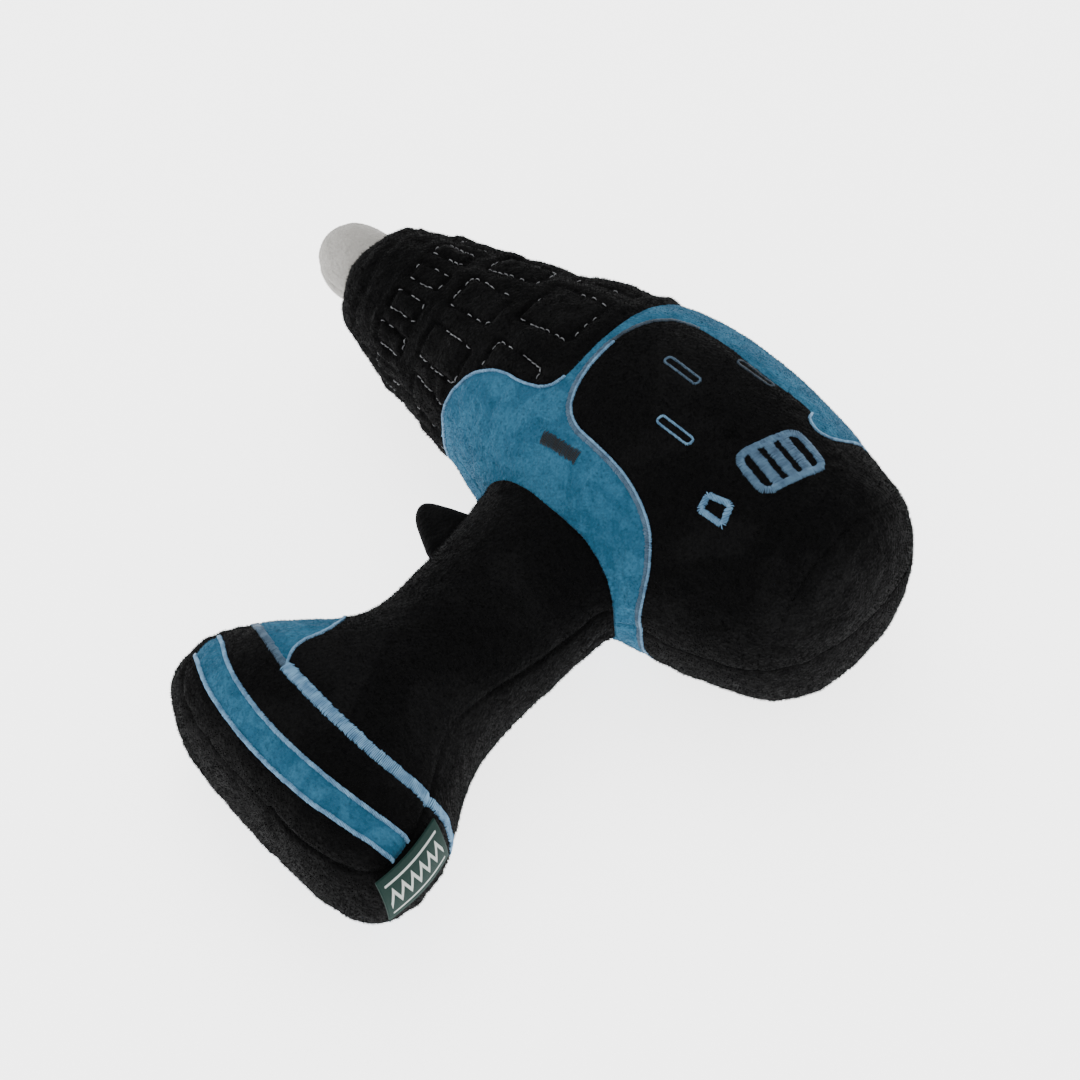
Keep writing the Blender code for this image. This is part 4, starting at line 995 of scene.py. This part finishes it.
for side in ("_left", "_right"):
    chuck, gear, motor, grip = "chuck" + side, "gearcase" + side, "motor_cover" + side, "grip" + side
    upper, stripe, lower = "foot_upper" + side, "foot_stripe" + side, "foot_lower" + side
    blue_corner = "foot_corner" + side
    border("gearcase_front_satin" + side, chuck, gear, THIN_LINE, LIGHT_THREAD,
           "gearcase_front_border" + side, low=(-60, -60), high=(-20.4, -9.0))
    # The motor cover's border is one satin ridge drawn as two threads: the wide dark band is painted shade on
    # the side away from the light, and the thin light line beside it is a painted highlight on the lit crest.
    border("motor_cover_satin" + side, gear, motor, COVER_SHADE_BAND, GREY_BLUE_AND_SHADE_THREAD, "motor_cover_border" + side,
           rise=0.25, low=(-25, -60), high=(36, 8.0))
    border("motor_cover_line" + side, gear, motor, COVER_HIGHLIGHT_LINE, LIGHT_THREAD, None, rise=0.5,
           low=(-25, -60), high=(36, 8.0), shift=0.75)
    border("motor_cover_satin_top" + side, gear, motor, 1.5, FAINT_THREAD, None, rise=0.25,
           low=(-25, 8.0), high=(-5.0, 31.0))
    border("notch_satin" + side, gear, motor, THIN_LINE, LIGHT_THREAD, "notch_border" + side,
           low=(36.2, 20), high=(52, 42))
    border("side_band_satin" + side, grip, upper, BAND_WIDTH, LIGHT_THREAD, "satin_band" + side, rise=0.65,
           pitch=BAND_PITCH, radius=BAND_THREAD, spread=0.05)
    border("stripe_upper_satin" + side, upper, stripe, STRIPE_LINE, LIGHT_THREAD,
           "stripe_upper_border" + side)
    border("stripe_lower_satin" + side, stripe, lower, STRIPE_LINE, LIGHT_THREAD,
           "stripe_lower_border" + side)
    border("corner_satin" + side, grip, blue_corner, THIN_LINE, LIGHT_THREAD, "corner_stitch" + side)
    border("corner_band_satin" + side, blue_corner, upper, 2.8, GREY_BLUE_AND_SHADE_THREAD, None, rise=0.45,
           pitch=BAND_PITCH)
border("rear_band_satin", "handle_gusset", "foot_gusset", 3.8, LIGHT_THREAD, "satin_band_rear", rise=0.6,
       pitch=BAND_PITCH, radius=BAND_THREAD, spread=0.05)


# ---------------------------------------------------------------- embroidery on the motor cover
def on_side(outline, side, lift=0.0):
    """A line drawn in the x-y plane, laid on the left or right side of the skin, with normals."""
    sign = 1.0 if side == "_left" else -1.0
    found = []
    for x, y in outline:
        spot, normal, _, _ = tree.ray_cast(Vector((x, y, 90.0 * sign)), Vector((0.0, 0.0, -sign)))
        if spot is not None:
            found.append([*(np.array(spot) + np.array(normal) * lift), *normal])
    line = np.array(found)
    if len(line) > 8:
        line[:, 3:] = smooth_normals_near(line[:, :3])
    return line


def smooth_normals_near(spots):
    """Skin normals averaged round each spot, so that stitches lie evenly."""
    out = []
    for spot in spots:
        total = Vector((0.0, 0.0, 0.0))
        for _, normal, _, _ in tree.find_nearest_range(Vector(spot), 1.6):
            total += normal
        out.append(list(total.normalized()))
    return np.array(out)


def figure(name, outline, side, stroke, mat, node, rise=0.4):
    line = on_side(resample(np.array(outline), 0.5, True), side)
    obj = satin_on(name + side, line, stroke, rise, closed=True, radius=0.15)
    return dress(obj, mat, stands_for=[node + side] if node else ())


def filled(name, columns, side, mat, node):
    """Columns of satin stitches side by side: each is a middle line and a width."""
    made = [satin_on(f"{name}_{k}{side}", on_side(resample(np.array(line), 0.5, closed), side), width,
                     0.3, closed=closed, radius=0.15) for k, (line, width, closed) in enumerate(columns)]
    obj = joined(made) if len(made) > 1 else made[0]
    obj.name = name + side
    return dress(obj, mat, stands_for=[node + side])


VENT_THREAD = thread("mid_blue_rayon", (0.13, 0.25, 0.38), (0.05, 0.11, 0.19))
trapezoid_middle = np.mean(TRAPEZOID, axis=0)
TRAPEZOID_LINE = trapezoid_middle + (np.array(TRAPEZOID) - trapezoid_middle) * 0.80
vent_x, vent_y, vent_length, vent_height = VENT
slot_length, slot_height = VENT_SLOT
ring_inset = (vent_length - slot_length) / 2.0
vent_columns = [(rounded_box(vent_x, vent_y, vent_length - ring_inset, vent_height - ring_inset, 3.2,
                             VENT_SLOPE), ring_inset + 0.5, True)]
vent_way = np.array([math.cos(math.radians(VENT_SLOPE)), math.sin(math.radians(VENT_SLOPE))])
for low_slot, high_slot in zip(VENT_SLOTS, VENT_SLOTS[1:]):
    middle = (low_slot + high_slot) / 2.0
    gap = high_slot - low_slot - slot_height
    reach = vent_way * (slot_length / 2.0 + 0.6)
    spot = np.array([vent_x, vent_y]) + np.array([-vent_way[1], vent_way[0]]) * (middle - vent_y)
    vent_columns.append(([spot - reach, spot + reach], gap + 0.5, False))
mark_x, mark_y, mark_length, mark_height = MARK
mark_columns = [([(mark_x - mark_length / 2, mark_y + 0.2), (mark_x + mark_length / 2, mark_y - 0.2)],
                 mark_height, False)]
for side in ("_left", "_right"):
    for slot_name, x, y, length, height, slope in SLOTS:
        look = {"slot_edge": FAINT_THREAD, "slot_upper": GREY_BLUE_AND_SHADE_THREAD}.get(slot_name, LIGHT_THREAD)
        outline = rounded_box(x, y, length - SLOT_STROKE, height - SLOT_STROKE, 0.8, slope)
        figure(slot_name + "_outline", outline, side, SLOT_STROKE, look, slot_name, 0.25)
    figure("trapezoid_outline", TRAPEZOID_LINE, side, 2.3, LIGHT_THREAD,
           "trapezoid")
    filled("vent_stitching", vent_columns, side, VENT_THREAD, "vent_grille")
    filled("mark_stitching", mark_columns, side, BLACK_THREAD, "side_mark")


# ---------------------------------------------------------------- running stitches on the chuck
def chuck_spot(x, degrees):
    """Point and normal of the skin, seen straight out from the chuck's axis."""
    rows = np.array(BODY_ROWS)
    axis = Vector((x, float(np.interp(x, rows[:, 0], rows[:, 1])), 0.0))
    way = Vector((0.0, math.cos(math.radians(degrees)), math.sin(math.radians(degrees))))
    spot, normal, _, _ = tree.ray_cast(axis + way * 80.0, -way)
    return (spot, normal) if spot is not None else (None, None)


def running_stitches():
    """Dashes of thread along each quilted figure, some of them lost in the pile; more dashes are drawn along
    the barrel, a painted highlight where the thread catches the light.
    """
    rows = np.array(BODY_ROWS)
    centres, across, normals, widths, depth = [], [], [], [], []
    for (x, length, width, count, first), corner in zip(QUILT_ROWS, QUILT_CORNER):
        radius = float(np.interp(x, rows[:, 0], (rows[:, 2] + rows[:, 3]) / 2.0))
        for k in range(count):
            middle = first + 360.0 * k / count
            outline = resample(rounded_box(0.0, 0.0, length, width, corner), 1.9, True)
            # Share of dashes drawn: higher along the barrel, where the thread catches the light (painted
            # highlight), and on one side of each figure; the rest are lost in the pile.
            shown = {(True, True): DRAW.uniform(0.45, 1.0), (True, False): DRAW.uniform(0.1, 0.8),
                     (False, True): DRAW.uniform(0.0, 0.5), (False, False): DRAW.uniform(0.0, 0.3)}
            for (ua, va), (ub, vb) in zip(outline, np.roll(outline, -1, 0)):
                lost = DRAW.uniform(0.0, 1.0)
                lengthwise = abs(ub - ua) > abs(vb - va)
                if lost > shown[(lengthwise, bool((va if lengthwise else ua) > 0.0))]:
                    continue
                a = chuck_spot(x + ua, middle + math.degrees(va / radius))
                b = chuck_spot(x + ub, middle + math.degrees(vb / radius))
                if a[0] is None or b[0] is None:
                    continue
                step = np.array(b[0] - a[0])
                size = np.linalg.norm(step)
                if size < 0.8 or size > 4.0:
                    continue
                normal = np.array((a[1] + b[1]).normalized())
                edge = inside(np.array([[x + ua, a[0].y, 0.0]]), CHUCK_OUTLINE)[0]
                if edge < 1.6:
                    continue
                centres.append(np.array(a[0] + b[0]) / 2.0 + normal * (0.42 if lengthwise else 0.3))
                across.append(step / size)
                normals.append(normal)
                widths.append(size * 0.9)
                depth.append(0.0)
    obj = stitched("chuck_running_stitch", np.array(centres), np.array(across), np.array(normals),
                   np.array(widths), 0.17, 0.10, np.array(depth), sides=6, sections=5)
    return dress(obj, CHUCK_THREAD)


CHUCK_OUTLINE = np.vstack([[(-160.0, -80.0)], smooth_line(FRONT_EDGE), [(-160.0, 80.0)]])
running_stitches()


# ---------------------------------------------------------------- nose tip
def nose_tip():
    rows = np.array(TIP_RINGS, float)
    fine = np.linspace(0, len(rows) - 1, 40)
    rows = np.stack([np.interp(fine, np.arange(len(rows)), c) for c in rows.T], 1)
    angles = np.linspace(0, 2 * math.pi, 96, endpoint=False)
    rings = []
    for offset, size, lift in rows[::-1]:
        radius = TIP_RADIUS * size
        rings.append(np.stack([np.full(96, BODY_ROWS[0][0] + offset), 6.4 + lift + radius * np.cos(angles),
                               radius * np.sin(angles)], 1))
    p, faces = tube(rings)
    p[len(p) - 2] = (BODY_ROWS[0][0] - TIP_LENGTH + 0.2, 7.9, 0.0)
    obj = add_object("nose_tip_raw", p / 1000.0, faces)
    smooth = obj.modifiers.new("Smooth", "SMOOTH")
    smooth.iterations = 6
    refine(obj, 1)
    p, t = triangles(obj)
    bpy.data.objects.remove(obj, do_unlink=True)
    p = p * 1000.0
    n = point_normals(p, t)
    seam = np.abs(p[:, 2]) / np.sqrt(np.maximum(0.1, 1 - n[:, 2] ** 2))
    p = p + n * (0.35 * lumps(p, 7.0, 21) + 0.12 * lumps(p, 2.2, 22) - 0.5 * np.exp(-(seam / 0.7) ** 2)
                 + DRAW.uniform(-0.05, 0.05, len(p)))[:, None]
    d, t = cut(np.hstack([p, n]), t, 2)
    side = d[t].mean(1)[:, 2] > 0
    for name, mask in (("_left", side), ("_right", ~side)):
        half = closed_cloth("nose_tip_plush" + name, d[:, :3], d[:, 3:], t[mask], CLOTH * 0.8, GREY_PILE)
        dress(half, GREY, stands_for=["nose_tip" + name])


nose_tip()


# ---------------------------------------------------------------- trigger fin
def trigger_fin():
    """Two skins puffed between the sewn edge of the fin, made from one outline."""
    top = np.array(TRIGGER_TOP)
    down = np.array(TRIGGER_BOTTOM) - top
    down /= np.linalg.norm(down)
    away = np.array([down[1], -down[0]])
    outline = smooth_line(np.array(TRIGGER_OUTLINE)[1:-1], 2)
    outline = np.vstack([TRIGGER_OUTLINE[0], outline, TRIGGER_OUTLINE[-1]])
    ring = top + outline[:, :1] * away + outline[:, 1:] * down
    step = 0.45
    low, high = ring.min(0) - 1.0, ring.max(0) + 1.0
    xs, ys = np.arange(low[0], high[0], step), np.arange(low[1], high[1], step)
    grid = np.stack(np.meshgrid(xs, ys, indexing="ij"), -1).reshape(-1, 2)
    d = inside(np.hstack([grid, np.zeros((len(grid), 1))]), ring)
    i, j = np.meshgrid(np.arange(len(xs) - 1), np.arange(len(ys) - 1), indexing="ij")
    a = (i * len(ys) + j).ravel()
    t = np.vstack([np.stack([a, a + len(ys), a + len(ys) + 1], 1), np.stack([a, a + len(ys) + 1, a + 1], 1)])
    flat, t = cut(np.hstack([grid, d[:, None]]), t, 2)
    t = t[flat[t].mean(1)[:, 2] > 0]
    reach = np.clip(flat[:, 2] / 3.2, 0.0, 1.0)
    puff = TRIGGER_THICKNESS / 2.0 * np.sqrt(1.0 - (1.0 - reach) ** 2)
    spots = np.hstack([flat[:, :2], np.zeros((len(flat), 1))])
    for side, sign in (("_left", 1.0), ("_right", -1.0)):
        bump = 0.35 * lumps(spots + 7.0 * sign, 4.0, 31) + 0.1 * lumps(spots, 1.6, 32) \
            + DRAW.uniform(-0.08, 0.08, len(flat))
        high_side = (puff + bump * reach + 0.05) * sign
        p = np.hstack([flat[:, :2], high_side[:, None]])
        faces = t if sign > 0 else t[:, ::-1]
        n = point_normals(p, faces)
        edge = flat[:, 2] < 0.05
        n[edge] = np.array([0.0, 0.0, sign])
        thick = np.minimum(0.6, np.abs(p[:, 2]))
        obj = closed_fin("trigger_plush" + side, p, n, faces, thick)
        obj.data.materials.append(BLACK)
        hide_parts("trigger_skin" + side)
        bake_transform(obj)


def closed_fin(name, p, n, t, thick):
    used, index = np.unique(t, return_inverse=True)
    local = index.reshape(-1, 3)
    top, low = p[used], p[used] - n[used] * thick[used, None]
    ends = np.concatenate([local[:, [0, 1]], local[:, [1, 2]], local[:, [2, 0]]])
    _, first, counts = np.unique(np.sort(ends, 1), axis=0, return_index=True, return_counts=True)
    rim, count = ends[first[counts == 1]], len(used)
    quads = np.stack([rim[:, 1], rim[:, 0], rim[:, 0] + count, rim[:, 1] + count], 1)
    obj = add_object(name, place(np.vstack([top, low])),
                     local.tolist() + (local[:, ::-1] + count).tolist() + quads.tolist())
    obj.data.shade_smooth()
    return obj


trigger_fin()


# ---------------------------------------------------------------- woven label
LABEL_TOP = -124.0
LABEL_DROP = 24.0
LABEL_LEAN = 1.0
LABEL_BOW = 1.6
LABEL_SEAM = 13.6
LABEL_WIDTH = 11.4
LABEL_LIFT = 1.8
LABEL_GAP = 0.55
LABEL_CLOTH = 0.22


def label_point(down, z):
    """A point of the straight fold at this share of the label's length, for a given z."""
    rows = np.array(HANDLE_ROWS)
    cx, cy, slope, length, thick = (np.interp(-LABEL_TOP, -rows[:, 1], rows[:, k]) for k in range(5))
    reach = length * (1.0 - abs(z / thick) ** HANDLE_POWER) ** (1.0 / HANDLE_POWER)
    a = math.radians(slope)
    lean = LABEL_LEAN * down + LABEL_BOW * math.sin(0.85 * math.pi * down)
    return np.array([cx + reach * math.cos(a) + lean, cy + reach * math.sin(a) - LABEL_DROP * down, z])


def woven_label():
    """One ribbon, folded at its free edge, both ends sewn into the seam."""
    rows, across = 44, 34
    downs = np.linspace(0.0, 1.0, rows)
    zs = LABEL_SEAM - LABEL_WIDTH * np.linspace(0.0, 1.0, across)
    flat = np.array([[label_point(d, z) for z in zs] for d in downs])
    n = np.cross(np.gradient(flat, axis=0), np.gradient(flat, axis=1))
    n /= np.linalg.norm(n, axis=2)[..., None]
    if n[rows // 2, across // 2, 0] < 0:
        n = -n
    for _ in range(6):
        n[1:-1] = (n[:-2] + 2 * n[1:-1] + n[2:]) / 4.0
    n /= np.linalg.norm(n, axis=2)[..., None]
    wave = 0.25 * np.sin(downs * 5.0)[:, None] * np.linspace(0.0, 1.0, across)[None]
    upper = flat + n * (LABEL_LIFT + LABEL_GAP + wave)[..., None]
    lower = flat + n * (LABEL_LIFT + wave)[..., None]
    tip = (upper[:, -1] + lower[:, -1]) / 2.0
    out = upper[:, -1] - upper[:, -2]
    out /= np.linalg.norm(out, axis=1)[:, None]
    radius = LABEL_GAP / 2.0
    turn = [tip + out * radius * math.sin(a) + n[:, -1] * radius * math.cos(a)
            for a in np.linspace(0.25, math.pi - 0.25, 7)]
    strip = np.concatenate([upper, np.stack(turn, 1), lower[:, ::-1]], 1)
    count = strip.shape[1]
    i, j = np.meshgrid(np.arange(rows - 1), np.arange(count - 1), indexing="ij")
    a = (i * count + j).ravel()
    t = np.vstack([np.stack([a, a + 1, a + count + 1], 1), np.stack([a, a + count + 1, a + count], 1)])
    p = strip.reshape(-1, 3)
    normal = point_normals(p, t)
    if normal[(rows // 2) * count + across // 2] @ n[rows // 2, across // 2] < 0:
        t, normal = t[:, ::-1], -normal
    obj = closed_cloth("woven_label_ribbon", p, normal, t, LABEL_CLOTH)
    v, u = np.meshgrid(downs, np.arange(count) / (across - 1.0), indexing="ij")
    uv = np.tile(np.stack([u.ravel(), v.ravel()], 1), (2, 1))
    layer = obj.data.uv_layers.new(name="ribbon")
    loops = np.empty(len(obj.data.loops), int)
    obj.data.loops.foreach_get("vertex_index", loops)
    layer.data.foreach_set("uv", uv[loops].reshape(-1))
    obj.data.materials.append(label_material())
    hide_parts("woven_label")
    across_way = (strip[rows // 2, 8] - strip[rows // 2, 0])
    across_way /= np.linalg.norm(across_way)
    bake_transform(obj)


def label_material():
    """Dark green taffeta ribbon with a pale zigzag and two pale edge lines woven in."""
    mat, tree, shader = shader_of("green_ribbon_weave")
    add, join = tree.nodes.new, tree.links.new

    def maths(kind, first, second=None, third=None, clamp=False):
        node = add("ShaderNodeMath")
        node.operation = kind
        node.use_clamp = clamp
        for socket, value in zip(node.inputs, (first, second, third)):
            if value is None:
                continue
            if isinstance(value, (int, float)):
                socket.default_value = value
            else:
                join(value, socket)
        return node.outputs[0]

    where = add("ShaderNodeUVMap")
    where.uv_map = "ribbon"
    split = add("ShaderNodeSeparateXYZ")
    join(where.outputs["UV"], split.inputs["Vector"])
    u, v = split.outputs["X"], split.outputs["Y"]
    zig = maths("PINGPONG", maths("MULTIPLY", v, 7.0), 0.5)
    middle = maths("MULTIPLY_ADD", zig, 0.62, 0.34)
    line = maths("LESS_THAN", maths("ABSOLUTE", maths("SUBTRACT", u, middle)), 0.075)
    near_edge = maths("LESS_THAN", maths("ABSOLUTE", maths("SUBTRACT", u, 0.86)), 0.022)
    low_edge = maths("LESS_THAN", maths("ABSOLUTE", maths("SUBTRACT", u, 0.17)), 0.022)
    inset = maths("LESS_THAN", maths("ABSOLUTE", maths("SUBTRACT", v, 0.5)), 0.43)
    pale = maths("MULTIPLY", maths("MAXIMUM", maths("MAXIMUM", line, near_edge), low_edge), inset)
    warp = maths("SINE", maths("MULTIPLY", v, 520.0))
    weft = maths("SINE", maths("MULTIPLY", u, 260.0))
    weave = maths("MULTIPLY_ADD", maths("MULTIPLY", warp, weft), 0.5, 0.5)
    green = add("ShaderNodeMix")
    green.data_type = "RGBA"
    green.inputs["A"].default_value = (0.002, 0.012, 0.010, 1.0)
    green.inputs["B"].default_value = (0.006, 0.028, 0.022, 1.0)
    join(weave, green.inputs["Factor"])
    both = add("ShaderNodeMix")
    both.data_type = "RGBA"
    both.inputs["B"].default_value = (0.42, 0.45, 0.43, 1.0)
    join(pale, both.inputs["Factor"])
    join(green.outputs["Result"], both.inputs["A"])
    join(both.outputs["Result"], shader.inputs["Base Color"])
    rough = maths("MULTIPLY_ADD", weave, -0.15, 0.72)
    join(rough, shader.inputs["Roughness"])
    raised = add("ShaderNodeBump")
    raised.inputs["Strength"].default_value = 0.5
    raised.inputs["Distance"].default_value = 0.0001
    join(maths("ADD", weave, maths("MULTIPLY", pale, 0.8)), raised.inputs["Height"])
    join(raised.outputs["Normal"], shader.inputs["Normal"])
    shader.inputs["Specular IOR Level"].default_value = 0.12
    return mat


woven_label()


# ---------------------------------------------------------------- what is sewn up inside
def inside_group():
    """Matted fibre or cast vinyl: soft blotches and a fine grain."""
    group, given, out = node_group(
        "blotch_and_grain",
        [("Colour", "NodeSocketColor", (0.8, 0.8, 0.8, 1)), ("Shade", "NodeSocketColor", (0.6, 0.6, 0.6, 1)),
         ("Scale", "NodeSocketFloat", 200.0)],
        [("Colour", "NodeSocketColor"), ("Roughness", "NodeSocketFloat"), ("Height", "NodeSocketFloat")])
    add, join = group.nodes.new, group.links.new
    coords = add("ShaderNodeTexCoord")
    noise = add("ShaderNodeTexNoise")
    noise.inputs["Detail"].default_value = 6.0
    noise.inputs["Distortion"].default_value = 1.2
    join(coords.outputs["Object"], noise.inputs["Vector"])
    join(given.outputs["Scale"], noise.inputs["Scale"])
    mix = add("ShaderNodeMix")
    mix.data_type = "RGBA"
    join(noise.outputs["Fac"], mix.inputs["Factor"])
    join(given.outputs["Shade"], mix.inputs["A"])
    join(given.outputs["Colour"], mix.inputs["B"])
    join(mix.outputs["Result"], out.inputs["Colour"])
    rough = add("ShaderNodeMapRange")
    rough.inputs["To Min"].default_value = 0.45
    rough.inputs["To Max"].default_value = 0.95
    join(noise.outputs["Fac"], rough.inputs["Value"])
    join(rough.outputs["Result"], out.inputs["Roughness"])
    join(noise.outputs["Fac"], out.inputs["Height"])
    return group


def hidden_parts():
    blotch = inside_group()
    looks = {}
    for name, colour, shade, scale, bump in (
            ("polyester_wadding", (0.86, 0.86, 0.84), (0.70, 0.70, 0.69), 260.0, 0.9),
            ("cast_vinyl", (0.80, 0.77, 0.70), (0.70, 0.67, 0.60), 90.0, 0.1),
            ("moulded_reed", (0.70, 0.16, 0.11), (0.55, 0.10, 0.07), 120.0, 0.05)):
        mat, mat_tree, shader = shader_of(name)
        finish_nodes(mat_tree, shader, blotch, {"Colour": colour, "Shade": shade}, bump, 0.0008,
                     {"Scale": scale})
        looks[name] = mat
    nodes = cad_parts
    for name, mat in (("body_stuffing", "polyester_wadding"), ("handle_stuffing", "polyester_wadding"),
                      ("trigger_fill", "polyester_wadding"), ("squeaker_base", "cast_vinyl"),
                      ("squeaker_top", "cast_vinyl"), ("squeaker_reed", "moulded_reed")):
        nodes[name].data.materials.clear()
        nodes[name].data.materials.append(looks[mat])
    copy = nodes["squeaker_bellows"].copy()
    copy.data = nodes["squeaker_bellows"].data.copy()
    for key in list(copy.keys()):
        del copy[key]
    copy.parent = None
    copy.name = "squeaker_bellows_folds"
    bpy.context.scene.collection.objects.link(copy)
    dress(copy, looks["cast_vinyl"], stands_for=["squeaker_bellows"])
    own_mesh(copy)


hidden_parts()


# ---------------------------------------------------------------- stage, camera and light
def studio():
    bpy.ops.mesh.primitive_plane_add(size=12.0, location=(0.0, 0.0, -0.0002))
    floor = bpy.context.active_object
    floor.name = "studio_floor"
    mat, tree, shader = shader_of("pale_paper")
    shader.inputs["Base Color"].default_value = (0.95, 0.95, 0.95, 1.0)
    shader.inputs["Roughness"].default_value = 0.9
    shader.inputs["Emission Color"].default_value = (1.0, 1.0, 1.0, 1.0)
    shader.inputs["Emission Strength"].default_value = 3.0
    floor.data.materials.append(mat)
    world = bpy.context.scene.world or bpy.data.worlds.new("studio")
    bpy.context.scene.world = world
    world.use_nodes = True
    world.node_tree.nodes["Background"].inputs["Color"].default_value = (1.0, 1.0, 1.0, 1.0)
    world.node_tree.nodes["Background"].inputs["Strength"].default_value = 1.15
    for name, power, size, place_at in (("key", 14.0, 1.2, (-0.7, 0.5, 1.5)),
                                        ("fill", 6.0, 1.4, (0.9, -0.9, 1.1))):
        light = bpy.data.lights.new(name, "AREA")
        light.energy = power
        light.size = size
        lamp = bpy.data.objects.new(name, light)
        bpy.context.scene.collection.objects.link(lamp)
        lamp.location = place_at
        lamp.rotation_euler = (Vector((0, 0, 0)) - Vector(place_at)).to_track_quat("-Z", "Y").to_euler()


def camera():
    azimuth, elevation = math.radians(41.0), math.radians(49.0)
    right = Vector((math.cos(azimuth), math.sin(azimuth), 0.0))
    away = Vector((-math.sin(azimuth), math.cos(azimuth), 0.0))
    up_way = away * math.sin(elevation) + Vector((0, 0, 1)) * math.cos(elevation)
    back = -away * math.cos(elevation) + Vector((0, 0, 1)) * math.sin(elevation)
    target = Vector(place(np.array([0.0, -28.8, 0.0]))[0])
    lens = bpy.data.cameras.new("camera")
    lens.lens = 144.7
    lens.sensor_width = 36.0
    eye = bpy.data.objects.new("camera", lens)
    bpy.context.scene.collection.objects.link(eye)
    eye.location = target + back * 1.2 - right * 0.0117 - up_way * 0.0008
    eye.rotation_euler = (-back).to_track_quat("-Z", "Y").to_euler()
    bpy.context.scene.camera = eye


studio()
camera()
